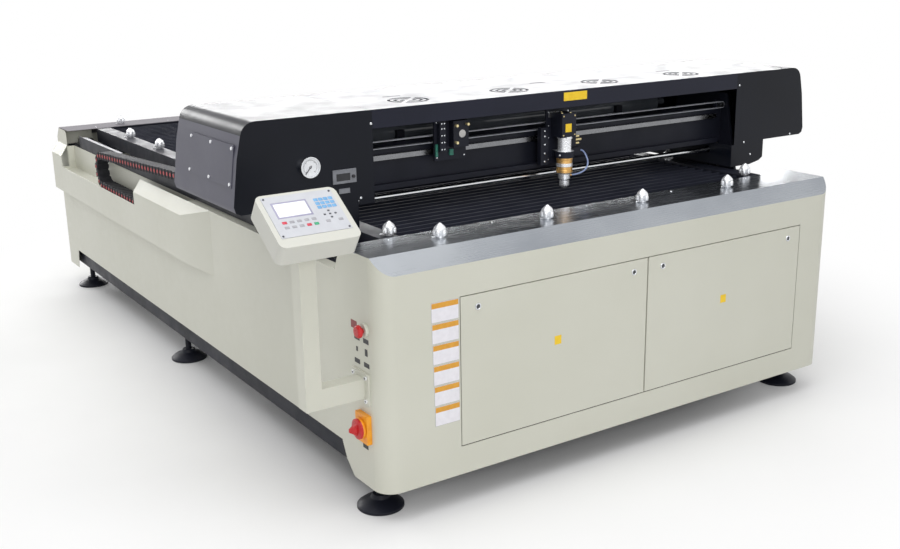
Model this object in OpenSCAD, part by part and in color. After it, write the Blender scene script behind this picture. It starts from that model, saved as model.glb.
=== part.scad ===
// Flat bed laser cutting machine with a moving gantry, two heads on one belt,
// a bladed table and a control panel on a side arm. Millimetres, +Z up.

/* [Body] */
// Width of the body over its side panels
body_w = 1900; // [1800:10:2200]
// Length of the body from front to rear
body_l = 3220; // [3120:10:3600]
// Height of the table top above the floor
table_h = 805; // [780:5:900]
// Gap between the floor and the cabinet skirts
skirt_gap = 100; // [90:5:120]
// Depth of the front cabinet
front_d = 245; // [235:5:280]
// Depth of the rear cabinet
rear_d = 166; // [150:2:190]
// Radius of the upright corners of the cabinets
corner_r = 60; // [50:2:80]
// Thickness of the painted sheet steel
sheet_t = 2; // [1.5:0.5:3]
// Drop of the side wall edge below the table top
wall_drop = 75; // [70:1:80]
// Height of the side panel bottoms above the skirts
panel_lift = 95; // [90:1:110]

/* [Service doors] */
// Distance of the door field from the left end of the body
door_left_x = 269; // [250:1:300]
// Distance of the door field from the right end of the body
door_right_x = 165; // [160:1:200]
// Distance of the top of the door field below the plate
door_drop = 147; // [140:1:170]
// Gap around each door
door_gap = 3; // [2.5:0.5:4]
// Depth of the folded door edges
door_fold = 16; // [14:1:18]
// Radius of the cam locks
lock_r = 9; // [8:0.5:10]

/* [Table] */
// Radius of the two front corners of the stainless plate
plate_r = 115; // [100:5:125]
// Distance from the front edge to the bladed bed
plate_d = 214; // [205:1:230]
// Gap between each side beam and the black bed frame
bed_clear = 10; // [8:1:12]
// Spacing of the table blades
blade_pitch = 42; // [38:1:48]
// Thickness of each blade
blade_t = 6; // [4:0.5:8]
// Radius of the clamp knobs
knob_r = 22; // [18:0.5:22.5]

/* [Gantry] */
// Distance of the gantry front from the front edge of the body
gantry_y = 357; // [345:1:400]
// Depth of the gantry covers
gantry_d = 473; // [460:1:490]
// Height of the gantry top above the table
gantry_h = 357; // [350:1:380]
// Reach of the end covers beyond the body on each side
gantry_out = 251; // [235:1:270]
// Distance from the window to the right end of the body
window_right = 135; // [130:1:140]
// Height of the visor edge above the table
visor_h = 300; // [295:1:305]
// Travel of the gantry
gantry_travel = 2250; // [2000:10:2250]

/* [Drive] */
// Radius of the polished cross shaft
shaft_r = 10; // [8:0.5:12]
// Radius of the pulleys that drive the gantry
drive_pulley_r = 25; // [22:0.5:28]
// Radius of the idlers that lead the long belts
idler_r = 14; // [12:0.5:15]
// Thickness of all belts
belt_t = 3; // [2:0.5:3]
// Width of the long belts and of the head belt
belt_w = 15; // [10:1:16]
// Radius of the pulleys of the head belt
head_pulley_r = 9.5; // [8:0.5:11]

/* [Heads] */
// Distance of the cutting head from the left end of the body
head_x = 960; // [940:5:1000]
// Distance between the two heads
head_gap = 440; // [420:5:460]
// Radius of the chrome lens tube
lens_tube_r = 28; // [24:1:30]
// Height of the nozzle tip above the table
nozzle_gap = 25; // [22:1:40]

/* [Drag chain] */
// Width of the chain
chain_w = 54; // [44:2:56]
// Height of the chain links
link_h = 33; // [28:1:34]
// Length of one link
link_l = 36; // [32:1:40]
// Radius of the bend along the middle of the chain
bend_r = 68; // [66:1:72]

/* [Control panel] */
// Width of the control box
panel_w = 236; // [220:2:250]
// Height of the control box along its face
panel_h = 192; // [180:2:200]
// Depth of the control box
panel_d = 65; // [55:1:75]
// Slope of the control box face from level
panel_slope = 34; // [28:1:40]
// Side of the square post
post_w = 50; // [40:2:56]

/* [Hidden] */

// Round shapes: $fn for large and small circles
$fn = 48;
small_fn = 24;
weld_gap = 0.3;
belt_play = 0.3;

ivory = [0.88, 0.87, 0.80];
black = [0.13, 0.14, 0.18];
steel = [0.72, 0.73, 0.75];
chrome = [0.85, 0.86, 0.88];

// Heights above the floor
wall_z = table_h - wall_drop;
rise_z = wall_z + 58;
panel_z = skirt_gap + panel_lift;
strip_z = table_h - 51;
strip_run = 45;
chassis_z = skirt_gap + 20;
tube_w = 60;
chassis_top = chassis_z + 75;
beam_h = 90;
beam_z = wall_z - beam_h;
bearer_h = 50;
bed_h = 63;
bed_z = table_h - 2 - bed_h;

// Plan of the chassis
chassis_in = 20;
chassis_front = 65;
chassis_back = body_l - 65;
beam_x = 36;
beam_w = 94;
strip_w = 80;
mid_x = body_w / 2;
bed_x = beam_x + beam_w + bed_clear;
bed_y0 = plate_d;
bed_y1 = body_l - 210;
bed_rim = 66;
bearers = [for (k = [0 : 4]) bed_y0 + 80 + k * (bed_y1 - bed_y0 - 210) / 4];
foot_y = [140, body_l / 2 + 120, body_l - 140];
foot_x = 65;
foot_r = 72;
bay_y = front_d - 8;

// Long rails and belts
rail_w = 20;
rail_h = 18;
rail_x = 75;
strip_t = 4;
strip_top = wall_z + strip_t;
rail_y0 = 110;
rail_y1 = body_l - 130;
belt_x = 108;
block_h = 30;
block_z = strip_top + 3;
foot_plate_z = strip_top + 38;
shaft_z = table_h + 59;
shaft_y = gantry_y + 123;
belt_top = strip_top + belt_t;
idler_z = belt_top + 1 + belt_t + idler_r;
idler_dy = drive_pulley_r + belt_t + idler_r;

// Gantry
gantry_y1 = gantry_y + gantry_d;
gantry_top = table_h + gantry_h;
visor_z = table_h + visor_h;
window_x0 = 204;
window_x1 = body_w - window_right;
window_w = window_x1 - window_x0;
cover_z = table_h + 95;
leg_cover_z = table_h + 6;
end_r = 45;
end_lean = 18;
end_lean_h = 134;
leg_x0 = 45;
leg_x1 = 148;
leg_flare = 71;
leg_toe = 82;
beam_y = gantry_y + 103;
beam_d = 100;
girder_z = table_h + 90;
girder_h = 125;
leg_plate_x = 92;
leg_plate_t = 12;
x_rail_z = table_h + 191;
x_belt_z = table_h + 232;
x_belt_y = beam_y - 4 - belt_w;
x_pulley_x0 = 150;
x_pulley_x1 = window_x1 + 16;
tube_y = gantry_y + 350;
tube_z = table_h + 225;
tube_r = 40;
vent_x0 = window_x0 + 206;
vent_x1 = window_x1 - 165;
gauge_x = -13;
gauge_z = table_h + 210;
gauge_r = 31;

// Heads
head_y = gantry_y + 22;
nozzle_z = table_h + nozzle_gap;
plate_y = beam_y - 36;
plate_front = plate_y - 8;
sleeve_r = 18;
hose_r = 3;
hose_out = 92;

// Service doors
door_x0 = door_left_x;
door_x1 = body_w - door_right_x;
door_z0 = panel_z - 5;
door_z1 = table_h - door_drop;
door_mid = (door_x0 + door_x1) / 2;
door_bottom = door_z0 + door_gap;
door_top = door_z1 - door_gap;
pivot_y = 8;
pivot_z = door_bottom + 8;
pivot_t = 4;
pivot_in = 11;
pivot_r = 3;
lock_z = door_top - 38;
lock_xs = [door_x0 + 64, door_mid - 61, door_mid + 65, door_x1 - 63];

// Drag chain
chain_x = -2;
chain_low = table_h - 190;
bend_y = 2415;
bend_z = chain_low + link_h / 2 + bend_r;
trough_x = -35;
trough_y0 = 1205;
trough_y1 = 1420;
notch_y0 = 1960;
notch_y1 = body_l - rear_d - 2;
guide_y0 = gantry_y + 43;
guide_y1 = body_l - 280;
anchor_y = 510;
anchor_z = cover_z - 7 - link_h / 2;
upper_rise = anchor_z - (bend_z + bend_r);
upper_run = bend_y - anchor_y;
upper_slope = atan(upper_rise / upper_run);
upper_links = floor(sqrt(upper_run * upper_run + upper_rise * upper_rise) / link_l);
lower_links = floor((bend_y - trough_y1 - 10) / link_l);
bend_links = 6;

// Control panel and the left side fittings
panel_at = [-171, 60, table_h + 148];
panel_low = 108;
arm_y = 108;
arm_z = table_h - 393;
arm_h = 60;
post_x = -166;
flange_w = 94;
estop_at = [76, table_h - 215];
switch_at = [94, table_h - 515];
stem_r = 7.5;

// The part's origin lies under the middle of its box
spigot_r = 100;
spigot_l = 80;
box_x0 = panel_at[0] - panel_w / 2;
box_x1 = body_w + gantry_out;
box_y0 = panel_at[1] - panel_low * cos(panel_slope);
box_y1 = body_l + spigot_l;
origin = [(box_x0 + box_x1) / 2, (box_y0 + box_y1) / 2, 0];

// A block between two corners
module block(x0, x1, y0, y1, z0, z1) {
    translate([x0, y0, z0]) cube([x1 - x0, y1 - y0, z1 - z0]);
}

// The same on both sides of the middle of the body
module both_sides() {
    children();
    translate([body_w, 0, 0]) mirror([1, 0, 0]) children();
}

// A profile drawn in the Y-Z plane and drawn out along X
module along_x(x0, x1) {
    translate([x0, 0, 0]) rotate([90, 0, 90]) linear_extrude(x1 - x0) children();
}

// A profile drawn in the X-Z plane and drawn out along Y
module along_y(y0, y1) {
    translate([0, y1, 0]) rotate([90, 0, 0]) linear_extrude(y1 - y0) children();
}

// A round bar along X, Y or Z from a start point
module bar_x(at, r, l, fn = small_fn) {
    translate(at) rotate([0, 90, 0]) cylinder(r = r, h = l, $fn = fn);
}
module bar_y(at, r, l, fn = small_fn) {
    translate(at) rotate([-90, 0, 0]) cylinder(r = r, h = l, $fn = fn);
}
module bar_z(at, r, l, fn = small_fn) {
    translate(at) cylinder(r = r, h = l, $fn = fn);
}

// Plan of a cabinet: square at the back, rounded at the two front corners
module plan_outline(w, d, r) {
    translate([r, 0]) square([w - 2 * r, d]);
    translate([0, r]) square([w, d - r]);
    for (x = [r, w - r]) translate([x, r]) circle(r);
}

// A rectangle with four rounded corners
module round_rect(w, h, r, fn = small_fn) {
    translate([r, 0]) square([w - 2 * r, h]);
    translate([0, r]) square([w, h - 2 * r]);
    for (x = [r, w - r], y = [r, h - r]) translate([x, y]) circle(r, $fn = fn);
}

// Base frame of rectangular tubes, each a hair short of the next at its welds, with the bed bearers
module chassis() {
    color(black) {
        both_sides() {
            block(chassis_in, chassis_in + tube_w, chassis_front, chassis_back, chassis_z, chassis_top);
            for (y = [chassis_front, body_l * 0.28, body_l / 2 + 90, body_l * 0.77, chassis_back - tube_w])
                block(beam_x, chassis_in + tube_w, y, y + tube_w, chassis_top + weld_gap, beam_z);
        }
        for (y = [chassis_front, foot_y[1] - tube_w / 2, chassis_back - tube_w])
            block(chassis_in + tube_w + weld_gap, body_w - chassis_in - tube_w - weld_gap,
                y, y + tube_w, chassis_z, chassis_top);
        for (y = bearers)
            block(beam_x + beam_w, body_w - beam_x - beam_w, y, y + 50, bed_z - bearer_h, bed_z);
    }
}

// Six screw feet: flared disc, stem and lock nut
module levelling_feet() {
    color(black) for (y = foot_y) both_sides() translate([foot_x, y, 0]) {
        rotate_extrude() polygon([[0, 0], [foot_r, 0], [foot_r, 8], [foot_r - 16, 20], [30, 30], [24, 42],
            [12, 42], [12, chassis_z], [0, chassis_z]]);
        difference() {
            translate([0, 0, chassis_z - 18]) cylinder(r = 21, h = 18, $fn = 6);
            translate([0, 0, chassis_z - 19]) cylinder(r = 11, h = 20);
        }
    }
}

// Side beams that carry the long rails, with the chain guide angle on the left
module side_beams() {
    color(black) {
        both_sides() block(beam_x, beam_x + beam_w, chassis_front, chassis_back, beam_z, wall_z);
        difference() {
            block(beam_x - 4, beam_x + 10, guide_y0, guide_y1, wall_z, wall_z + 56);
            block(beam_x - 1, beam_x + 11, guide_y0 - 1, guide_y1 + 1, wall_z + 3, wall_z + 57);
        }
    }
}

// Ground steel strips with a square linear rail on each
module y_rails() {
    color(steel) both_sides() {
        block(beam_x + beam_w - strip_w, beam_x + beam_w, rail_y0, rail_y1, wall_z, strip_top);
        difference() {
            block(rail_x - rail_w / 2, rail_x + rail_w / 2, rail_y0, rail_y1, strip_top, strip_top + rail_h);
            for (side = [-1, 1]) translate([rail_x + side * rail_w / 2, 0, strip_top + rail_h / 2])
                rotate([0, 45, 0]) translate([-2, rail_y0 - 1, -2]) cube([4, rail_y1 - rail_y0 + 2, 4]);
        }
    }
}

// Open toothed belts clamped at both ends of the strips
module y_belts() {
    color(black) both_sides() {
        block(belt_x, belt_x + belt_w, rail_y0 + 2, rail_y1 - 2, strip_top, belt_top);
        for (y = [rail_y0 + 2, rail_y1 - 42])
            block(belt_x - 4, beam_x + beam_w, y, y + 40, belt_top, belt_top + 12);
    }
}

// Profile of a side panel with its folded top edge
module side_sheet(x0) {
    block(x0, x0 + sheet_t, front_d, body_l - rear_d, panel_z, wall_z);
    block(x0, beam_x, front_d, body_l - rear_d, wall_z - sheet_t, wall_z);
    along_x(x0, x0 + sheet_t)
        polygon([[body_l - rear_d - 110, wall_z - 5], [body_l - rear_d, wall_z - 5],
            [body_l - rear_d, rise_z], [body_l - rear_d - 110, wall_z]]);
}

// Left side panel, open where the drag chain passes
module side_panel_left() {
    color(ivory) difference() {
        side_sheet(0);
        block(-1, beam_x + 5, trough_y1 + 2, notch_y1 + 4, chain_low - 3, wall_z + 80);
    }
}

module side_panel_right() {
    color(ivory) translate([body_w, 0, 0]) mirror([1, 0, 0]) side_sheet(0);
}

// Bulged trough along the left side that the chain lies in, tapered off at its front end
module chain_trough() {
    foot = table_h - 320;
    edge = table_h - 125;
    color(ivory) {
        polyhedron(points = [[0, trough_y0, foot], [0, trough_y0, wall_z], [0, trough_y1, foot],
                [0, trough_y1, wall_z], [trough_x, trough_y1, foot + 14], [trough_x, trough_y1, edge]],
            faces = [[0, 1, 3, 2], [2, 3, 5, 4], [4, 5, 1, 0], [0, 2, 4], [1, 5, 3]]);
        difference() {
            along_y(trough_y1, body_l) polygon([[0, foot], [trough_x, foot + 14], [trough_x, edge],
                [0, wall_z], [0, wall_z - 4], [trough_x + sheet_t, edge - 1],
                [trough_x + sheet_t, foot + 15], [0, foot + 2]]);
            block(trough_x - 1, 1, notch_y0, notch_y1, chain_low + 11, wall_z + 1);
        }
        difference() {
            block(trough_x + 1, beam_x - 1, trough_y1 + 2, notch_y1, chain_low - 3, wall_z - 4);
            block(trough_x + sheet_t, beam_x - 3, trough_y1 + 1, notch_y1 - 2, chain_low - 0.5, wall_z);
            block(trough_x, 1, trough_y1 + 1, notch_y1 + 1, chain_low + 11, wall_z);
        }
    }
}

// One chain link with its pins: a box tube with round shoulders, from the start point along Y
module chain_link() {
    pin_r = link_h * 0.24;
    half = chain_w / 2;
    difference() {
        translate([-half, 0, -link_h / 2]) cube([chain_w, link_l - 0.6, link_h]);
        translate([-half + 5, -1, -link_h / 2 + 5]) cube([chain_w - 10, link_l + 2, link_h - 10]);
        for (z = [-1, 1], side = [-1, 1])
            translate([side * half, link_l * 0.72, z * link_h / 2])
                cube([5, link_l * 0.34, 8], center = true);
    }
    for (side = [-1, 1])
        translate([side * (half + 0.7), link_l * 0.36, 0]) rotate([0, 90, 0])
            cylinder(r = pin_r, h = 1.6, center = true, $fn = 16);
}

// Lower run, fixed at the front end of the trough
module chain_lower() {
    color(black) for (k = [1 : lower_links])
        translate([chain_x, bend_y - k * link_l, chain_low + link_h / 2]) chain_link();
}

// Upper run, from the bend up to its bracket under the gantry
module chain_upper() {
    color(black) translate([chain_x, bend_y, bend_z + bend_r]) rotate([180 - upper_slope, 0, 0])
        for (k = [0 : upper_links - 1]) translate([0, k * link_l + 1, 0]) chain_link();
}

// Half round bend of the chain, one curved box tube for each link
module chain_bend() {
    step = 180 / bend_links;
    play = 0.6;
    color(black) translate([chain_x, bend_y, bend_z]) rotate([90, 0, 90]) for (k = [0 : bend_links - 1])
        rotate(k * step - 90 + play / 2) {
            rotate_extrude(angle = step - play) translate([bend_r, 0]) difference() {
                square([link_h, chain_w], center = true);
                square([link_h - 10, chain_w - 10], center = true);
            }
            rotate(step / 2) for (side = [-1, 1]) translate([bend_r, 0, side * (chain_w / 2 + 0.7)])
                cylinder(r = link_h * 0.24, h = 1.6, center = true, $fn = 16);
        }
}

// Side profile of the front cabinet, in Y-Z
module front_profile() {
    polygon([[0, skirt_gap], [front_d - 69, skirt_gap], [front_d - 25, skirt_gap + 41],
        [front_d, panel_z - 3], [front_d, wall_z + 8], [plate_d, table_h - 2], [strip_run + 0.8, table_h - 2],
        [1.6, strip_z], [0, strip_z]]);
}

// Folded front cabinet with rounded corners, opening, stop fold and pivot brackets
module front_cabinet() {
    color(ivory) {
        difference() {
            intersection() {
                translate([0, 0, skirt_gap]) linear_extrude(table_h) difference() {
                    plan_outline(body_w, front_d, corner_r);
                    translate([sheet_t, sheet_t])
                        plan_outline(body_w - 2 * sheet_t, front_d, corner_r - sheet_t);
                }
                along_x(-1, body_w + 1) front_profile();
            }
            block(door_x0, door_x1, -1, sheet_t + 1, door_z0, door_z1);
            bar_x([-1, estop_at[0], estop_at[1]], stem_r + 0.5, sheet_t + 2, 32);
        }
        block(door_x0, door_x1, sheet_t, door_fold - 2, door_z1, door_z1 + sheet_t);
        intersection() {
            along_x(0, body_w) plate_profile();
            linear_extrude(table_h + 1) difference() {
                plan_outline(body_w, front_d, corner_r);
                plan_outline(body_w, front_d, plate_r);
            }
        }
    }
    color(steel) {
        pivot_bracket(door_x0 - pivot_t, pivot_t);
        pivot_bracket(door_mid - door_gap / 2, door_gap);
        pivot_bracket(door_x1, pivot_t);
        bar_x([door_x0 - 1, pivot_y, pivot_z], pivot_r, pivot_in + 1);
        bar_x([door_mid - pivot_in, pivot_y, pivot_z], pivot_r, 2 * pivot_in);
        bar_x([door_x1 - pivot_in, pivot_y, pivot_z], pivot_r, pivot_in + 1);
    }
}

// Bracket behind the skirt that holds the pins of the doors
module pivot_bracket(x, t) {
    along_x(x, x + t) polygon([[sheet_t, door_z0 - 40], [sheet_t, door_z0 - 2], [pivot_y - 3, pivot_z],
        [pivot_y + 5, pivot_z + 5], [pivot_y + 14, pivot_z - 5], [pivot_y + 14, door_z0 - 40]]);
}

// Rear cabinet: skirt, plain back sheet with two exhaust collars, and raised ends
module rear_cabinet() {
    back = body_l;
    color(ivory) {
        difference() {
            intersection() {
                translate([0, 0, skirt_gap]) linear_extrude(table_h) difference() {
                    translate([0, back - rear_d]) square([body_w, rear_d]);
                    translate([sheet_t, back - rear_d - 1])
                        square([body_w - 2 * sheet_t, rear_d - sheet_t + 1]);
                }
                along_x(-1, body_w + 1) polygon([[back, skirt_gap], [back - 144, skirt_gap],
                    [back - rear_d, panel_z - 3], [back - rear_d, rise_z], [back - rear_d + 14, table_h - 5],
                    [back - strip_run - 0.8, table_h - 2], [back - 1.6, strip_z], [back, strip_z]]);
            }
            for (x = spigot_xs()) bar_y([x, back - 10, spigot_z()], spigot_r - sheet_t, 20, 48);
        }
        both_sides() block(sheet_t, bed_x - 1, back - 122, back - 122 + sheet_t, wall_z, table_h - 3);
        for (x = spigot_xs()) difference() {
            bar_y([x, back - sheet_t, spigot_z()], spigot_r, spigot_l + sheet_t, 48);
            bar_y([x, back - 5, spigot_z()], spigot_r - sheet_t, spigot_l + 10, 48);
        }
    }
}
function spigot_xs() = [body_w * 0.3, body_w * 0.7];
function spigot_z() = table_h - 420;

// Side profile of the front plate, bent down along its front edge
module plate_profile() {
    polygon([[0, strip_z], [strip_run, table_h], [plate_d, table_h], [plate_d, table_h - 2],
        [strip_run + 0.8, table_h - 2], [1.6, strip_z]]);
}

// Stainless front plate, cut round at the corners
module front_table() {
    color(steel) intersection() {
        along_x(0, body_w) plate_profile();
        linear_extrude(table_h + 1) plan_outline(body_w, front_d, plate_r);
    }
}

module rear_table() {
    color(steel) along_x(0, body_w) polygon([[body_l, strip_z], [body_l - strip_run, table_h],
        [bed_y1, table_h], [bed_y1, table_h - 2], [body_l - strip_run - 0.8, table_h - 2],
        [body_l - 1.6, strip_z]]);
}

// Black frame around the bed
module bed_frame() {
    color(black) difference() {
        block(bed_x, body_w - bed_x, bed_y0, bed_y1, bed_z, table_h - 2);
        block(bed_x + bed_rim, body_w - bed_x - bed_rim, bed_y0 + 6, bed_y1 - 6, bed_z - 1, table_h);
    }
    color(black) for (y = [bed_y0 + 6, bed_y1 - 46]) block(bed_x + bed_rim, body_w - bed_x - bed_rim,
        y, y + 40, bed_z, bed_z + 6);
}

// Blades across the bed, each wider at its foot, on two ledges
module bed_blades() {
    first = bed_y0 + 18;
    count = floor((bed_y1 - 18 - first) / blade_pitch);
    color(black) {
        for (k = [0 : count]) along_x(bed_x + bed_rim, body_w - bed_x - bed_rim)
            translate([first + k * blade_pitch, 0]) polygon([[-blade_t, bed_z + 12], [blade_t, bed_z + 12],
                [blade_t / 2, table_h - 7], [-blade_t / 2, table_h - 7]]);
        for (x = [bed_x + bed_rim, mid_x - 15, body_w - bed_x - bed_rim - 30])
            block(x, x + 30, bed_y0 + 6, bed_y1 - 6, bed_z + 6, bed_z + 16);
    }
}

// Chrome clamp knobs along all four sides of the bed
module bed_clamps() {
    side_step = 397;
    color(chrome) {
        for (k = [0 : floor((bed_y1 - 330) / side_step)]) both_sides()
            translate([bed_x + 48, 250 + k * side_step, table_h - 2]) rotate([0, 0, -30]) clamp_knob();
        for (k = [0 : 3], y = [plate_d - 84, body_l - 128])
            translate([290 + k * (body_w - 700) / 3, y, table_h]) clamp_knob();
    }
}

// A lobed knob with a pointed crown and the ball of its cross screw
module clamp_knob() {
    r = knob_r;
    cylinder(r = r * 0.6, h = r * 0.25, $fn = small_fn);
    translate([0, 0, r * 0.25]) linear_extrude(r * 0.8) {
        circle(r * 0.7, $fn = small_fn);
        for (k = [0 : 4]) rotate(k * 72) translate([r * 0.66, 0]) circle(r * 0.34, $fn = 16);
    }
    translate([0, 0, r * 1.05]) rotate_extrude($fn = small_fn)
        polygon([[0, 0], [r * 0.72, 0], [r * 0.6, r * 0.3], [r * 0.3, r * 0.7], [0, r * 0.95]]);
    translate([-r - 4, 0, 3]) sphere(3, $fn = 16);
    bar_x([-r - 3, 0, 3], 1.6, r, 16);
}

// Sheet behind the service bay, on a shelf across the chassis
module bay_bulkhead() {
    inner = beam_x + beam_w + 1;
    color(steel) {
        block(inner, body_w - inner, bay_y, bay_y + sheet_t, chassis_top, bed_z - 50);
        block(sheet_t, body_w - sheet_t, chassis_front + tube_w + 2, bay_y + sheet_t,
            chassis_top, chassis_top + sheet_t);
    }
}

// Laser supply, motion controller and motor drivers on the bulkhead
module drive_electrics() {
    face = bay_y;
    color(black) {
        block(door_x0 + 60, door_x0 + 340, face - 110, face, door_z0 + 130, door_z0 + 300);
        difference() {
            block(door_mid + 60, door_mid + 250, face - 45, face, door_z0 + 120, door_z0 + 330);
            block(door_mid + 66, door_mid + 244, face - 46, face - 40, door_z0 + 140, door_z0 + 310);
        }
        for (k = [0 : 2]) translate([door_mid + 310 + k * 90, face - 75, door_z0 + 130]) {
            cube([45, 75, 150]);
            for (f = [0 : 5]) translate([45, 8 + f * 11, 0]) cube([14, 4, 150]);
        }
    }
}

// Tube arm from the flange on the left side, with the upright post
module control_arm() {
    color(ivory) {
        difference() {
            union() {
                block(post_x - post_w / 2, post_x + post_w / 2, arm_y - post_w / 2, arm_y + post_w / 2,
                    arm_z - arm_h / 2, panel_at[2] + 10);
                block(post_x, -5, arm_y - post_w / 2, arm_y + post_w / 2,
                    arm_z - arm_h / 2, arm_z + arm_h / 2);
            }
            translate(panel_at) rotate([panel_slope, 0, 0])
                translate([-300, -300, -panel_d]) cube([600, 600, 300]);
        }
        translate([-6, arm_y - flange_w / 2, arm_z - flange_w / 2]) cube([6, flange_w, flange_w]);
    }
    color(steel) for (dy = [-35, 35], dz = [-35, 35])
        bar_x([-11, arm_y + dy, arm_z + dz], 6, 5, 16);
}

module tilted_panel() {
    translate(panel_at) rotate([panel_slope, 0, 0]) children();
}

// Control box with rounded corners and a shallow seat for the keypad
module control_box() {
    color(ivory) tilted_panel() difference() {
        translate([-panel_w / 2, -panel_low, -panel_d])
            linear_extrude(panel_d) round_rect(panel_w, panel_h, 20);
        translate([-103, -75, -1.5]) cube([206, 150, 3]);
    }
}

// Membrane keypad with a raised screen frame
module keypad_panel() {
    color([0.85, 0.88, 0.92]) tilted_panel() difference() {
        translate([-102.7, -74.7, -1.5]) cube([205.4, 149.4, 2.3]);
        translate([-82, -5, 0.2]) cube([97, 53, 2]);
    }
}

// Collar of the stop button and base plate of the main switch, on the left side
module switch_bases() {
    color([0.9, 0.75, 0.1]) {
        difference() {
            bar_x([-10, estop_at[0], estop_at[1]], 20, 10, 32);
            bar_x([-11, estop_at[0], estop_at[1]], stem_r + 0.5, 12, 32);
        }
        difference() {
            translate([-16, switch_at[0] - 34, switch_at[1] - 44]) cube([16, 68, 88]);
            bar_x([-17, switch_at[0], switch_at[1]], stem_r + 0.5, 18, 32);
        }
    }
}

// Door pan: front sheet with four folded edges
module door_pan(x0, x1) {
    difference() {
        block(x0 + door_gap, x1 - door_gap, 0, door_fold, door_bottom, door_top);
        block(x0 + door_gap + sheet_t, x1 - door_gap - sheet_t, sheet_t, door_fold + 1,
            door_bottom + sheet_t, door_top - sheet_t);
        bar_x([x0 - 1, pivot_y, pivot_z], pivot_r + 0.1, x1 - x0 + 2);
    }
}

module door_with_locks(x0, x1, locks) {
    color(ivory) difference() {
        door_pan(x0, x1);
        for (x = locks) bar_y([x, -1, lock_z], lock_r + 0.1, sheet_t + 2);
    }
}

module door_left() { door_with_locks(door_x0, door_mid, [lock_xs[0], lock_xs[1]]); }
module door_right() { door_with_locks(door_mid, door_x1, [lock_xs[2], lock_xs[3]]); }

// Cam lock: face, barrel with a key slot, and the cam behind the door
module cam_lock(x) {
    color(chrome) translate([x, 0, lock_z]) {
        difference() {
            union() {
                bar_y([0, -3, 0], lock_r + 2, 3);
                bar_y([0, 0, 0], lock_r, door_fold + 2);
            }
            translate([-1, -4, -5]) cube([2, 3, 10]);
        }
        translate([-8, door_fold + 2, -8]) cube([62, 3, 16]);
    }
}

// Mushroom head of the stop button on its plunger
module estop_button() {
    color([0.75, 0.05, 0.08]) translate([0, estop_at[0], estop_at[1]]) rotate([0, -90, 0])
        rotate_extrude($fn = 32)
        polygon([[0, -4], [stem_r, -4], [stem_r, 16], [13, 16], [19, 19], [19, 25], [15, 31], [0, 32]]);
}

// Round handle of the main switch with its grip
module main_switch() {
    color([0.8, 0.1, 0.1]) translate([0, switch_at[0], switch_at[1]]) {
        bar_x([-34, 0, 0], 31, 17.5, 32);
        bar_x([-18, 0, 0], stem_r, 14, 32);
        intersection() {
            translate([-58, -9, -30]) cube([24, 18, 60]);
            bar_x([-60, 0, 0], 30, 28, 32);
        }
    }
}

// Box girder of the gantry with a ledge plate below the rail
module gantry_beam() {
    x0 = leg_plate_x + leg_plate_t;
    color(black) {
        difference() {
            block(x0, body_w - x0, beam_y, beam_y + beam_d, girder_z, girder_z + girder_h);
            block(x0 - 1, body_w - x0 + 1, beam_y + 6, beam_y + beam_d - 6,
                girder_z + 6, girder_z + girder_h - 6);
        }
        block(window_x0 + 6, window_x1 - 6, beam_y - 22, beam_y, girder_z + 14, girder_z + 18);
        block(window_x0 + 6, window_x1 - 6, beam_y - 22, beam_y - 19, girder_z, girder_z + 14);
    }
}

// End legs: rail blocks, foot plate, upright plate, ears for the idlers and a stay to the cover
module gantry_legs() {
    ear = idler_dy + 20;
    color(black) both_sides() difference() {
        union() {
            block(48, leg_plate_x + leg_plate_t, gantry_y + 8, gantry_y1 - 10,
                foot_plate_z, foot_plate_z + 12);
            block(leg_plate_x, leg_plate_x + leg_plate_t, shaft_y - ear, shaft_y + ear,
                idler_z - 10, foot_plate_z);
            block(leg_x0 + sheet_t, leg_plate_x, gantry_y1 - 130, gantry_y1 - 90, cover_z - 60, cover_z - 40);
            along_x(leg_plate_x, leg_plate_x + leg_plate_t) polygon([[gantry_y + 20, foot_plate_z + 12],
                [gantry_y1 - 20, foot_plate_z + 12], [gantry_y1 - leg_toe, table_h - 6],
                [gantry_y + 330, girder_z + girder_h + 60],
                [beam_y - 20, girder_z + girder_h + 60]]);
            for (y = [gantry_y + 8, gantry_y1 - 60]) difference() {
                block(rail_x - 25, rail_x + 25, y, y + 48, block_z, foot_plate_z);
                block(rail_x - rail_w / 2 - 0.4, rail_x + rail_w / 2 + 0.4, y - 1, y + 49, block_z - 1,
                    strip_top + rail_h + 0.4);
            }
        }
        bar_x([leg_plate_x - 1, shaft_y, shaft_z], shaft_r + 0.05, leg_plate_t + 2, 48);
        for (s = [-1, 1]) bar_x([leg_plate_x - 1, shaft_y + s * idler_dy, idler_z], 4.05, leg_plate_t + 2);
    }
    color(black) block(body_w - leg_x0 - sheet_t, body_w - leg_x0 + leg_flare - sheet_t,
        gantry_y1 - 130, gantry_y1 - 90, cover_z - 60, cover_z - 40);
}

// Outline of a left end cover in X-Z; its leg may flare out to leg_side
module end_outline(inset = 0, leg_side = leg_x0) {
    far = -gantry_out;
    i = inset;
    flared = leg_side < leg_x0;
    open_z = leg_cover_z - (i > 0 ? 1 : 0);
    polygon([[window_x0, gantry_top - i],
        for (a = [90 : 16 : 170]) [far + 77, gantry_top - end_r] + (end_r - i) * [cos(a), sin(a)],
        [far + end_lean + i, cover_z + 26 + end_lean_h], [far + i, cover_z + 26],
        [far + 5 + i, cover_z + 8 + i], [far + 20 + i, cover_z + i], [leg_side + i, cover_z + i],
        if (flared) each [[leg_side + i, leg_cover_z + 22 + i / 2],
            [leg_side + 19 + i / 2, leg_cover_z + 10 + i], [leg_x0, leg_cover_z + i]],
        [leg_x0 + (flared ? 0 : i), open_z], [leg_x1 - i, open_z],
        [leg_x1 - i, cover_z - 5 + i], [window_x0, cover_z - 5 + i]]);
}

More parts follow.
